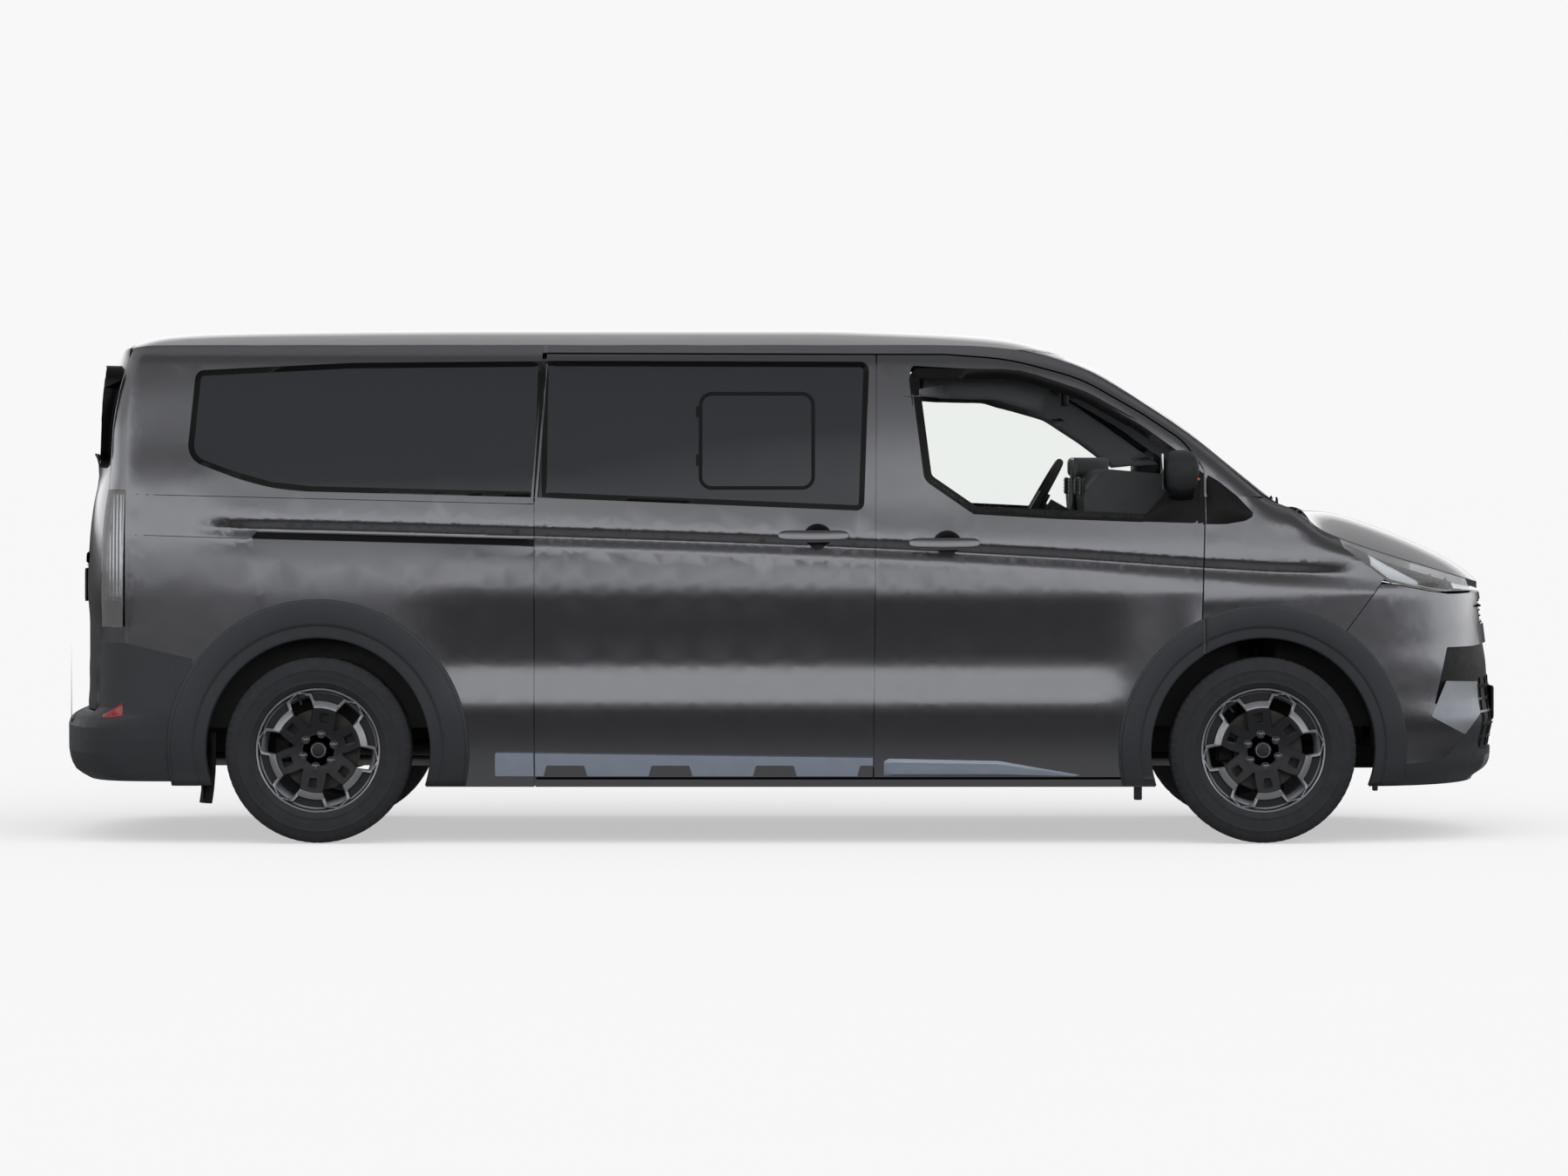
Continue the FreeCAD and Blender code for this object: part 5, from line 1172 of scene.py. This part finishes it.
class MINIBUS_OT_head_lamps(bpy.types.Operator):
    """Headlamp insides: housing, light guides and projectors behind the clear cover"""

    bl_idname = "minibus.head_lamps"
    bl_label = "Headlamps"

    def execute(self, context):
        tree = skin("head_lamps")
        back = lamp_sheet(tree, (0.02, 0.98), (flat(0.03), flat(0.97)), 44, 6, 44, kind=3)
        ribs = lamp_sheet(tree, (0.10, 0.95), (flat(0.66), flat(0.90)), 30, 4, 40, 4, 1)
        guide = lamp_sheet(tree, (0.20, 0.50), ([(0.2, 0.16), (0.5, 0.05)], [(0.2, 0.72), (0.34, 0.62), (0.5, 0.3)]),
                           20, 6, 26, 5, 2)
        guide.join(lamp_sheet(tree, (0.05, 0.19), (flat(0.50), flat(0.84)), 20, 4, 12, 4, 1))
        guide.join(lamp_sheet(tree, (0.5, 0.97), (flat(0.06), flat(0.11)), 18, 3, 20, 2, 2))
        inside = back.join(ribs).join(guide)
        for share in (0.62, 0.80):
            centre = lamp_point(tree, share, 0.52, 34)
            a = lamp_angle(share)
            aim = Vector((math.cos(a) * 0.35 + 0.65, math.sin(a) * 0.35, 0)).normalized()
            turn = Matrix.Translation(centre) @ aim.to_track_quat("Y", "Z").to_matrix().to_4x4()
            bowl = Shape().add(*lathe([(24, 12), (22, 12.5), (20.5, 10), (17, 4), (15.5, 6)], 32), 1)
            bowl.add(*lathe([(16, 4), (15, 10), (11, 14.5), (6, 17), (0.4, 18)], 32), 3)
            inside.join(bowl, turn)
        make("head_lamp_insides", inside.doubled(), "body",
             [finish("reflector"), finish("bezel"), finish("guide"), finish("piano")], thick=1.2)
        return {"FINISHED"}


class MINIBUS_OT_tail_lamps(bpy.types.Operator):
    """Tail lamp insides, rear reflectors and the high brake lamp"""

    bl_idname = "minibus.tail_lamps"
    bl_label = "Tail lamps"

    def execute(self, context):
        tree = skin("tail_lamps")
        inside = sheet(tree, "right", path((-2453, 906), (-2450, 1100), (-2446, 1302)),
                       path((-2530, 906), (-2521, 1100), (-2505, 1230), (-2497, 1302)), -8, 6, 40, 0, 0, -8)
        inside.join(sheet(tree, "right", path((-2453, 804), (-2452, 900)), path((-2531, 804), (-2530, 900)), -3, 6, 12,
                          2, 0, -3))
        for low, high, kind in ((906, 1010, 1), (1016, 1100, 3), (1106, 1298, 1)):
            inside.join(sheet(tree, "rear", path((-846, low), (-844, high)), path((-876, low), (-872, high)), -16, 4,
                              16, kind, 0, -16))
        make("tail_lamp_insides", inside.doubled(), "body",
             [finish("ribbed"), finish("red"), finish("piano"), finish("amber")], thick=1.0)
        patch = sheet(skin("rear_bumper"), "right", path((-2528, 464), (-2485, 463), (-2447, 462)),
                      path((-2530, 474), (-2486, 498), (-2448, 523)), 2.0, 4, 16)
        # the red acrylic's emission paints a faint glow onto the reflectors, which are no lamps
        make("rear_reflectors", patch.doubled(), "body", [finish("red")], thick=1.5)
        high = sheet(skin("tailgate"), "rear", path((-190, 1796), (190, 1796)), path((-186, 1812), (186, 1812)), 3.0, 4,
                     30)
        make("high_brake_lamp", high, "tailgate", [finish("red")])
        return {"FINISHED"}


class MINIBUS_OT_nose(bpy.types.Operator):
    """Grille bars, number plate, wipers and cowl louvres"""

    bl_idname = "minibus.nose"
    bl_label = "Nose details"

    def execute(self, context):
        net = skin("grilles")
        bars = ribbon(net, "front", rounded([(-392, 806, 34), (392, 806, 34), (440, 886, 34), (-440, 886, 34)]), 5, 7.0,
                      True, 30, 0.3)
        for z, wide in ((829, 405), (850, 417), (870, 430)):
            bars.join(ribbon(net, "front", path((-wide, z), (wide, z)), 4.5, 6.0, False, 30, 0.3))
        for z in (376, 424, 472, 520, 568):
            bars.join(ribbon(net, "front", path((-548, z), (548, z)), 6, 7.0, False, 40, 0.3))
        for y in range(-480, 481, 120):
            bars.join(ribbon(net, "front", path((y, 340), (y, 600)), 3.5, 5.0, False, 40, 0.3))
        foremost = CAD_BOX[1][0] / MM
        for point in bars.points:
            point.x = min(point.x, foremost)
        make("grille_bars", bars, "body", [finish("piano")])
        place = touch(net, "front", 0, 498)
        place.x = min(place.x, foremost - 4)
        holder = soft_box((8, 536, 126), 3, (place.x - 3, 0, 498), 2, 0)
        holder.join(soft_box((4, 520, 110), 2, (place.x + 1.5, 0, 498), 2, 1))
        make("front_plate", holder, "body", [finish("plastic"), finish("plate")])

        glass, arms = skin("windscreen", "cowl_panel"), Shape()
        for pivot, tip in (((1884, 600), (1862, -30)), ((1888, -10), (1838, -640))):
            run = [touch(glass, "top", pivot[0] + (tip[0] - pivot[0]) * t, pivot[1] + (tip[1] - pivot[1]) * t,
                         11 + 5 * math.sin(math.pi * t)) for t in (0, 0.15, 0.3, 0.45, 0.6, 0.75)]
            arms.join(tube(run, [7, 6, 5, 4.5, 4, 4], 8))
            blade = [touch(glass, "top", pivot[0] - 14 + (tip[0] - pivot[0]) * t,
                           pivot[1] + (tip[1] - pivot[1]) * t, 5) for t in (0.18, 0.35, 0.5, 0.65, 0.8, 1.0)]
            arms.join(tube(blade, [3, 5, 5, 5, 5, 3], 8))
            arms.join(soft_box((26, 26, 16), 7, touch(glass, "top", pivot[0], pivot[1], 4), 2))
        make("windscreen_wipers", arms, "body", [finish("plastic")], sharp=50)
        louvres = Shape()
        for k in range(-9, 10):
            louvres.join(ribbon(skin("cowl_panel"), "top", path((1886, k * 60 - 22), (1886, k * 60 + 22)), 4, 2.5,
                                False, 15, 0.3))
        make("cowl_louvres", louvres, "body", [finish("plastic")])
        return {"FINISHED"}


class MINIBUS_OT_tail(bpy.types.Operator):
    """Tailgate handle bar, number plate, wiper and bumper step"""

    bl_idname = "minibus.tail"
    bl_label = "Tail details"

    def execute(self, context):
        gate = skin("tailgate")
        bar = ribbon(gate, "rear", path((-470, 1052), (-460, 1052), (460, 1052), (470, 1052)), 24, 9.0, False, 40, 0.35)
        make("tailgate_bar", bar, "tailgate", [finish("silver")])
        frame_line = ribbon(gate, "rear", rounded([(-280, 880, 14), (280, 880, 14), (280, 1012, 14), (-280, 1012, 14)]),
                            7, 4.0, True, 30, 0.3)
        place = touch(gate, "rear", 0, 946)
        frame_line.join(soft_box((8, 536, 126), 3, (place.x - 4, 0, 946), 2, 0))
        frame_line.join(soft_box((4, 520, 110), 2, (place.x - 8, 0, 946), 2, 1))
        for y in (-120, 120):
            frame_line.join(soft_box((14, 54, 14), 5, (place.x - 5, y, 1020), 2, 2))
        make("rear_plate", frame_line, "tailgate",
             [finish("plastic"), finish("plate"), finish("guide")])
        glass = skin("tailgate_glass", "tailgate")
        run = [touch(glass, "rear", y, z, 16) for y, z in ((0, 1366), (-60, 1400), (-150, 1424), (-260, 1436),
                                                          (-380, 1440))]
        wiper = tube(run, [10, 9, 7, 6, 5], 8)
        wiper.join(tube([touch(glass, "rear", y, 1428 + 0.02 * abs(y), 8) for y in (-120, -220, -320, -420, -480)],
                        [4, 7, 8, 7, 4], 8))
        wiper.join(soft_box((24, 44, 44), 10, touch(glass, "rear", 0, 1366, 6), 3))
        make("rear_wiper", wiper, "tailgate", [finish("plastic")], sharp=50)
        step = Shape()
        edge = node_box("rear_bumper")[0].x + 55
        for k in range(-8, 9):
            step.join(ribbon(skin("rear_bumper"), "top", path((edge, k * 70 - 26), (edge, k * 70 + 26)), 5, 2.0, False,
                             20, 0.3))
        make("bumper_step_ribs", step, "body", [finish("plastic")])
        return {"FINISHED"}


# ---- cabin


def remeshed(shape, voxel_mm):
    """The shape as one closed skin of even quads."""
    mesh = bpy.data.meshes.new("pad_core")
    mesh.from_pydata([p * MM for p in shape.points], [], shape.faces)
    core = bpy.data.objects.new("pad_core", mesh)
    bpy.context.scene.collection.objects.link(core)
    skinning = core.modifiers.new("skin", "REMESH")
    skinning.mode, skinning.voxel_size = "VOXEL", voxel_mm * MM
    made = bpy.data.meshes.new_from_object(core.evaluated_get(bpy.context.evaluated_depsgraph_get()))
    bpy.data.objects.remove(core)
    return made


CLOTH_FRAMES = 20


def swollen(shape, voxel_mm, cap_mm):
    """A cover blown up over its filling by the cloth solver, each point moving no further than the cap."""
    mesh = remeshed(shape, voxel_mm)
    rest = [v.co.copy() for v in mesh.vertices]
    cover = bpy.data.objects.new("pad_cover", mesh)
    bpy.context.scene.collection.objects.link(cover)
    cloth = cover.modifiers.new("cloth", "CLOTH")
    cloth.settings.quality = 4
    cloth.settings.mass = 0.3
    cloth.settings.use_pressure = True
    cloth.settings.uniform_pressure_force = 4
    cloth.settings.effector_weights.gravity = 0
    cloth.point_cache.frame_end = CLOTH_FRAMES
    for number in range(1, CLOTH_FRAMES + 1):
        bpy.context.scene.frame_set(number)
    blown = cover.evaluated_get(bpy.context.evaluated_depsgraph_get()).data
    moved = [v.co.copy() for v in blown.vertices]
    bpy.data.objects.remove(cover)
    bpy.context.scene.frame_set(1)
    for vertex, a, b in zip(mesh.vertices, rest, moved):
        step = b - a
        vertex.co = a + step * min(1.0, cap_mm * MM / max(step.length, 1e-9))
    made = Shape().add([v.co / MM for v in mesh.vertices], [list(p.vertices) for p in mesh.polygons])
    bpy.data.meshes.remove(mesh)
    return made


def crowned_pad(length, width, height):
    """A closed pad with a crowned top and pulled-in sides, before it swells. Its top faces +Z."""
    rows, count = [], 12
    for i in range(count + 1):
        u = 2 * i / count - 1
        row = []
        for j in range(24):
            a = 2 * math.pi * j / 24
            c, s = math.cos(a), math.sin(a)
            y, z = math.copysign(abs(c) ** 0.35, c), math.copysign(abs(s) ** 0.45, s)
            end = (1 - abs(u) ** 6) ** 0.3 if abs(u) < 1 else 0.02
            pull = 1 - 0.03 * (1 - u * u)
            crown = 0.10 * (1 - u * u) * (1 - y * y) if s > 0 else 0
            row.append(Vector((u * length / 2, y * width / 2 * pull * (0.75 + 0.25 * end),
                               (z + crown) * height / 2 * (0.15 + 0.85 * end))))
        rows.append(row)
    return loft(rows)


def stitched(shape, lines, depth_mm, wide_mm=9.0):
    """Presses sewn channels into a pad's top, along lines given as (axis, place, limit)."""
    for p in shape.points:
        if p.z <= 0:
            continue
        for axis, place, limit in lines:
            along, across = (p.y, p.x) if axis == "x" else (p.x, p.y)
            if abs(along) < limit:
                near = abs(across - place)
                if near < wide_mm:
                    p.z -= depth_mm * (1 + math.cos(math.pi * near / wide_mm)) / 2
    return shape


def with_insert(shape, half):
    """Gives the middle of a pad's top its own cloth."""
    for i, face in enumerate(shape.faces):
        middle = sum((shape.points[n] for n in face), Vector()) / len(face)
        shape.kinds[i] = 1 if abs(middle.y) < half and middle.z > 0 else 0
    return shape


# each kind of seat: its width, and where its places stand
SEATS = {"front_seats": (470, [(330, -420), (330, 420)]),
         "rear_seats": (380, [(x, y) for x in (-620, -1500) for y in (-412, 0, 412)])}
CUSHION_LENGTH, CUSHION_HEIGHT, BACK_LENGTH, BACK_HEIGHT = 480, 104, 560, 92
PAD_VOXEL, PAD_SWELL, SEAM_DEPTH = 13, 22, 8


class MINIBUS_OT_seats(bpy.types.Operator):
    """Padded front seats and benches, their head restraints and bases"""

    bl_idname = "minibus.seats"
    bl_label = "Seats"

    def execute(self, context):
        cloth = [finish("cloth"), finish("insert")]
        for node, (wide, places) in SEATS.items():
            seat = swollen(crowned_pad(CUSHION_LENGTH, wide, CUSHION_HEIGHT), PAD_VOXEL, PAD_SWELL)
            back = swollen(crowned_pad(BACK_LENGTH, wide - 10, BACK_HEIGHT), PAD_VOXEL, PAD_SWELL)
            edge = wide / 2 - 70
            seat = with_insert(stitched(seat, [("y", -edge, 215), ("y", edge, 215), ("x", 60, edge), ("x", -70, edge)],
                                        SEAM_DEPTH), edge)
            back = with_insert(stitched(back, [("y", -edge, 250), ("y", edge, 250), ("x", 110, edge), ("x", 0, edge),
                                               ("x", -120, edge)], SEAM_DEPTH), edge)
            rest, seats_made, backs_made, hard = Shape(), Shape(), Shape(), Shape()
            for x, y in places:
                seats_made.join(seat, Matrix.Translation((x + 318, y, 784)) @ Matrix.Rotation(math.radians(-4), 4, "Y"))
                lean = Matrix.Rotation(math.radians(-10.3), 4, "Y") @ Matrix.Rotation(math.radians(90), 4, "Y")
                flip = Matrix.Diagonal((-1, 1, 1, 1))
                backs_made.join(back, Matrix.Translation((x + 32, y, 1112)) @ lean @ flip)
                rest.join(soft_box((66, 240, 158), 30, (0, 0, 0), 5),
                          Matrix.Translation((x - 15, y, 1510)) @ Matrix.Rotation(math.radians(-6), 4, "Y"))
                for side in (-60, 60):
                    hard.join(tube(path((x - 20, y + side, 1380), (x - 17, y + side, 1450)), 6, 10, kind=1))
                hard.join(soft_box((370, wide - 90, 270), 26, (x + 290, y, 588), 3))
                hard.join(soft_box((430, 12, 60), 5, (x + 300, y - wide / 2 - 4, 726), 2))
                hard.join(soft_box((430, 12, 60), 5, (x + 300, y + wide / 2 + 4, 726), 2))
            for title, shape in (("cushions", seats_made), ("backs", backs_made)):
                piece = make(node + "_" + title, shape, "body", cloth, [node], sharp=60,
                             subdivide=1 if node == "front_seats" else 0)
            piece = make(node + "_head_restraints", rest, "body", cloth, [node], sharp=60, subdivide=1)
            make(node + "_bases", hard, "body", [finish("plastic"), finish("zinc")], [node])
        return {"FINISHED"}


# how far behind the outer skin the linings lie
LINING_DEPTH, OPENING_TRIM_DEPTH, HEADLINER_DEPTH = -76, -74, -46


class MINIBUS_OT_cabin(bpy.types.Operator):
    """Headliner, door cards, dashboard details and the rear-view mirror"""

    bl_idname = "minibus.cabin"
    bl_label = "Cabin"

    def execute(self, context):
        self.line_walls()
        self.dress_dashboard()
        self.pad_steering_wheel()
        self.hang_mirror()
        return {"FINISHED"}

    def line_walls(self):
        """Headliner, the door openings' trims and the cards inside the walls and doors."""
        roof = skin("roof_panel")
        lining = sheet(roof, "top", path((-2330, -740), (980, -740)), path((-2330, 740), (980, 740)),
                       HEADLINER_DEPTH, 16, 40, 0, 0, HEADLINER_DEPTH)
        make("headliner", lining, "body", [finish("headliner")], thick=6)
        frame_side = skin("side_frames", "front_door_right")
        flange = sheet(frame_side, "right", path((520, 1668), (790, 1660), (960, 1610)),
                       path((520, 1790), (790, 1788), (1010, 1740)), OPENING_TRIM_DEPTH, 5, 24, 0, 0,
                       OPENING_TRIM_DEPTH)
        pillar = sheet(frame_side, "right", path((800, 1658), (1033, 1588), (1170, 1500), (1304, 1400)),
                       path((980, 1745), (1085, 1698), (1290, 1560), (1492, 1410)), OPENING_TRIM_DEPTH, 5, 24, 0, 0,
                       OPENING_TRIM_DEPTH)
        make("door_opening_trims", flange.doubled().join(pillar.mirrored()), "body",
             [finish("pillar")], thick=3)
        make("cabin_side_cards", self.side_cards().doubled(), "body",
             [finish("trimcard"), finish("plastic")])
        card = self.door_card()
        for side, hand in SIDES.items():
            make("door_card_" + side, handed(card, hand), "front_door_" + side,
                 [finish("trimcard"), finish("plastic"), finish("zinc")])

    def dress_dashboard(self):
        """Instrument hood, screen, console, air vents with their slats, and the gear lever."""
        cowling = soft_box((150, 300, 74), 24, (1190, 420, 1392), 4)
        cowling.join(soft_box((14, 330, 190), 5, (1116, 0, 1330), 3, 1))
        cowling.join(soft_box((60, 260, 300), 20, (1140, 0, 1110), 3))
        for y in (-700, -250, 250, 690):
            cowling.join(soft_box((16, 120, 66), 7, (1118, y, 1318), 3, 2))
            for k in range(4):
                cowling.join(soft_box((5, 108, 3), 1.2, (1109, y, 1298 + 14 * k), 1, 1))
        lever = tube(path((1080, 0, 1120), (1064, 0, 1170), (1058, 0, 1200)), [11, 9, 8], 12, kind=2)
        lever.join(soft_box((44, 44, 56), 18, (1056, 0, 1212), 4, 2))
        make("dashboard_details", cowling.join(lever), "body",
             [finish("dash"), finish("piano"), finish("plastic")])

    def pad_steering_wheel(self):
        """The padded hub between the spokes, with a switch pad on either side."""
        tilt = Matrix.Translation((990, 420, 1253)) @ Matrix.Rotation(math.radians(29.5 - 90), 4, "Y")
        pad = soft_box((104, 134, 34), 15, (0, 0, -4), 4)
        for y in (-96, 96):
            pad.join(soft_box((44, 34, 12), 5, (10, y, 4), 2, 1))
        make("steering_wheel_pad", Shape().join(pad, tilt), "steering_wheel",
             [finish("dash"), finish("piano")])

    def hang_mirror(self):
        """The rear-view mirror on its arm behind the windscreen."""
        glass = touch(skin("windscreen"), "top", 1150, 0, -12)
        mirror = tube([glass, glass + Vector((-40, 0, -60)), glass + Vector((-60, 0, -95))], [14, 7, 6], 10)
        mirror.join(soft_box((26, 240, 62), 12, glass + Vector((-66, 0, -112)), 4))
        mirror.join(soft_box((3, 224, 50), 1.2, glass + Vector((-80, 0, -112)), 1, 1))
        make("rear_view_mirror", mirror, "body", [finish("plastic"), finish("mirror")])

    def side_cards(self):
        """Trim panels inside the sliding doors and rear quarters."""
        cards = sheet(skin("sliding_doors"), "right", path((-880, 330), (280, 330)), path((-880, 1240), (280, 1200)),
                      LINING_DEPTH, 8, 30, 0, 0, LINING_DEPTH)
        tree = skin("rear_quarters")
        cards.join(sheet(tree, "right", path((-2330, 960), (-930, 960)), path((-2330, 1290), (-930, 1262)),
                         LINING_DEPTH, 5, 30, 0, 0, LINING_DEPTH))
        cards.join(sheet(skin("sliding_doors"), "right", path((-700, 1040), (60, 1040)), path((-700, 1100), (60, 1095)),
                         -96, 4, 20, 1, 0, -80))
        return cards

    def door_card(self):
        """A front door's inner panel with its armrest, pocket and pull."""
        tree = skin("front_door_right")
        card = sheet(tree, "right", path((400, 320), (1100, 320), (1240, 760), (1500, 900)),
                     path((400, 1180), (800, 1176), (1200, 1160), (1500, 1150)), LINING_DEPTH, 8, 30, 0, 0,
                     LINING_DEPTH)
        card.join(sheet(tree, "right", path((520, 960), (1300, 990)), path((520, 1040), (1300, 1060)), -104, 4, 20, 1,
                        0, -78))
        card.join(sheet(tree, "right", path((560, 360), (1080, 360)), path((560, 480), (1080, 500)), -96, 4, 20, 1, 0,
                        -78))
        handle = [touch(tree, "right", x, 1090, -88) for x in (1180, 1210, 1250, 1290, 1320)]
        return card.join(tube(handle, [6, 8, 8, 8, 6], 10, kind=2))


# ---- studio, panel and main


class MinibusProperties(bpy.types.PropertyGroup):
    """Sizes and colours of the minibus's dressing."""

    paint_colour: bpy.props.StringProperty(name="Paint", description="Basecoat colour as sRGB hex", default="#8a8b90")
    front_wheel_turn: bpy.props.FloatProperty(name="Front wheels' turn", default=98.2,
                                              description="Angle of the first bar, in degrees")
    rear_wheel_turn: bpy.props.FloatProperty(name="Rear wheels' turn", default=80.2,
                                             description="Angle of the first bar, in degrees")
    camera_distance: bpy.props.FloatProperty(name="Camera distance", description="From the centre plane",
                                             default=25.5, unit="LENGTH")
    camera_height: bpy.props.FloatProperty(name="Camera height", description="Above the ground", default=1.43,
                                           unit="LENGTH")
    lens: bpy.props.FloatProperty(name="Lens", description="Focal length on a 36 mm sensor, in millimetres",
                                  default=152.3, unit="CAMERA")


class MINIBUS_OT_finishes(bpy.types.Operator):
    """Materials for the solids that show as they are"""

    bl_idname = "minibus.finishes"
    bl_label = "Finishes"

    def execute(self, context):
        for name, nodes in NODE_FINISHES.items():
            for node in nodes:
                NODES[node].data.materials.clear()
                NODES[node].data.materials.append(finish(name))
        left = set(NODES) - {node for nodes in NODE_FINISHES.values() for node in nodes}
        if left:
            raise RuntimeError("no finish for " + ", ".join(sorted(left)))
        return {"FINISHED"}


PHOTO_WIDTH_PX, HORIZON_ABOVE_MIDDLE_PX, SENSOR_MM = 1800, 150, 36
FLOOR_HALF_WIDTH = 300.0
# the wide light overhead: its strength, how wide it spreads, its tilt and its turn, in degrees
SOFTBOX_STRENGTH, SOFTBOX_SPREAD, SOFTBOX_TILT, SOFTBOX_TURN = 2.2, 90, 32, 8
# the studio by height: the sine of a direction's elevation, and how bright it is there, on either side of the part
NEAR_WALL = [(0.0, 0.055), (0.012, 0.09), (0.07, 1.02), (0.24, 0.95), (0.34, 0.30), (0.55, 0.17), (0.85, 0.16),
             (1.0, 0.28)]
FAR_WALL = [(0.0, 0.055), (0.012, 0.10), (0.04, 1.15), (0.12, 1.0), (0.22, 0.36), (0.5, 0.32), (0.8, 0.30), (1.0, 0.28)]
# what the pale floor sends up to the part, and the backdrop as the camera sees it
FLOOR_GLOW = (0.20, 0.20, 0.203, 1.0)
PAPER = (0.938, 0.938, 0.945, 1.0)


class MINIBUS_OT_stage(bpy.types.Operator):
    """Floor, soft studio light and the camera"""

    bl_idname = "minibus.stage"
    bl_label = "Stage"

    def execute(self, context):
        self.lay_floor(context)
        self.light_room(context)
        self.hang_softbox(context)
        self.set_camera(context)
        return {"FINISHED"}

    def lay_floor(self, context):
        """A pale floor that takes the shadow; the part neither mirrors it nor is lit by it."""
        mesh, edge = bpy.data.meshes.new("studio_floor"), FLOOR_HALF_WIDTH
        mesh.from_pydata([(-edge, -edge, 0), (edge, -edge, 0), (edge, edge, 0), (-edge, edge, 0)], [], [(0, 1, 2, 3)])
        floor = bpy.data.objects.new("studio_floor", mesh)
        context.scene.collection.objects.link(floor)
        made, tree, shader, space = new_material("pale_floor_paint", Roughness=1.0, Specular_IOR_Level=0.0,
                                                 Emission_Color=(1, 1, 1.005, 1), Emission_Strength=0.505)
        uneven(tree, space, shader, 900, "Base Color", "#b8b8b9", "#b9b9ba")
        mesh.materials.append(made)
        floor.visible_glossy = floor.visible_diffuse = False
        floor.location.z = -0.001

    def light_room(self, context):
        """A soft room whose brightness depends on height, and plain paper where the camera looks past the part."""
        world = bpy.data.worlds.new("softbox_studio")
        context.scene.world = world
        world.use_nodes = True
        tree = world.node_tree
        tree.nodes.clear()
        space = add_node(tree, "ShaderNodeTexCoord")
        split = add_node(tree, "ShaderNodeSeparateXYZ", {"Vector": (space, "Generated")})
        walls = []
        for wall in (NEAR_WALL, FAR_WALL):
            ramp = add_node(tree, "ShaderNodeValToRGB", {"Fac": (split, "Z")})
            elements = ramp.color_ramp.elements
            while len(elements) < len(wall):
                elements.new(0.5)
            for element, (place, value) in zip(elements, wall):
                element.position = place
                element.color = (value, value, value * 1.01, 1)
            walls.append(ramp)
        side = add_node(tree, "ShaderNodeMapRange", {"Value": (split, "Y"), "From Min": -0.15, "From Max": 0.15})
        room = add_node(tree, "ShaderNodeMix", {"Factor": (side, "Result"), "A": (walls[0], "Color"),
                                                "B": (walls[1], "Color")}, data_type="RGBA")
        # near the horizon the ground mirrors dark; steeper down the pale floor lights up
        steep = add_node(tree, "ShaderNodeMapRange", {"Value": (split, "Z"), "From Min": -0.16, "From Max": -0.5})
        room = add_node(tree, "ShaderNodeMix", {"Factor": (steep, "Result"), "A": (room, "Result"), "B": FLOOR_GLOW},
                        data_type="RGBA")
        ray = add_node(tree, "ShaderNodeLightPath")
        seen = add_node(tree, "ShaderNodeMix", {"Factor": (ray, "Is Camera Ray"), "A": (room, "Result"), "B": PAPER},
                        data_type="RGBA")
        out = add_node(tree, "ShaderNodeOutputWorld")
        add_node(tree, "ShaderNodeBackground", {"Color": (seen, "Result"), "Strength": 1.0},
                 {"Background": (out, "Surface")})

    def hang_softbox(self, context):
        """A wide soft light from above and a little from the side."""
        lamp = bpy.data.lights.new("wide_softbox", "SUN")
        lamp.energy, lamp.angle = SOFTBOX_STRENGTH, math.radians(SOFTBOX_SPREAD)
        high = bpy.data.objects.new("wide_softbox", lamp)
        high.rotation_euler = (math.radians(SOFTBOX_TILT), 0, math.radians(SOFTBOX_TURN))
        high.visible_glossy = False
        context.scene.collection.objects.link(high)

    def set_camera(self, context):
        """The photograph's view, square to the right side."""
        props = context.scene.minibus
        camera = bpy.data.cameras.new("camera")
        camera.sensor_width, camera.lens, camera.clip_end = SENSOR_MM, props.lens, 900
        eye = bpy.data.objects.new("camera", camera)
        eye.location = (0.003, -props.camera_distance, props.camera_height)
        # the photograph's horizon lies above the middle of its frame, so the camera looks down a little
        tilt = math.atan(HORIZON_ABOVE_MIDDLE_PX / (props.lens / SENSOR_MM * PHOTO_WIDTH_PX))
        eye.rotation_euler = (math.pi / 2 - tilt, 0, 0)
        context.scene.collection.objects.link(eye)
        context.scene.camera = eye
        context.scene.view_settings.view_transform = "Standard"


class MINIBUS_PT_panel(bpy.types.Panel):
    """Lists the sizes, and the operators that make the pieces"""

    bl_label = "Minibus"
    bl_idname = "MINIBUS_PT_panel"
    bl_space_type = "VIEW_3D"
    bl_region_type = "UI"
    bl_category = "Minibus"

    def draw(self, context):
        for key in MinibusProperties.__annotations__:
            self.layout.prop(context.scene.minibus, key)
        for operator in OPERATORS:
            self.layout.operator(operator.bl_idname)


OPERATORS = (MINIBUS_OT_stage, MINIBUS_OT_finishes, MINIBUS_OT_wheels, MINIBUS_OT_cladding, MINIBUS_OT_glazing,
             MINIBUS_OT_handles, MINIBUS_OT_mirrors, MINIBUS_OT_head_lamps, MINIBUS_OT_tail_lamps, MINIBUS_OT_nose,
             MINIBUS_OT_tail, MINIBUS_OT_seats, MINIBUS_OT_cabin)


def register():
    bpy.utils.register_class(MinibusProperties)
    bpy.types.Scene.minibus = bpy.props.PointerProperty(type=MinibusProperties)
    for operator in OPERATORS:
        bpy.utils.register_class(operator)
    bpy.utils.register_class(MINIBUS_PT_panel)


def unregister():
    bpy.utils.unregister_class(MINIBUS_PT_panel)
    for operator in reversed(OPERATORS):
        bpy.utils.unregister_class(operator)
    del bpy.types.Scene.minibus
    bpy.utils.unregister_class(MinibusProperties)


def main():
    register()
    for operator in OPERATORS:
        group, name = operator.bl_idname.split(".")
        getattr(getattr(bpy.ops, group), name)()


if __name__ == "__main__":
    main()
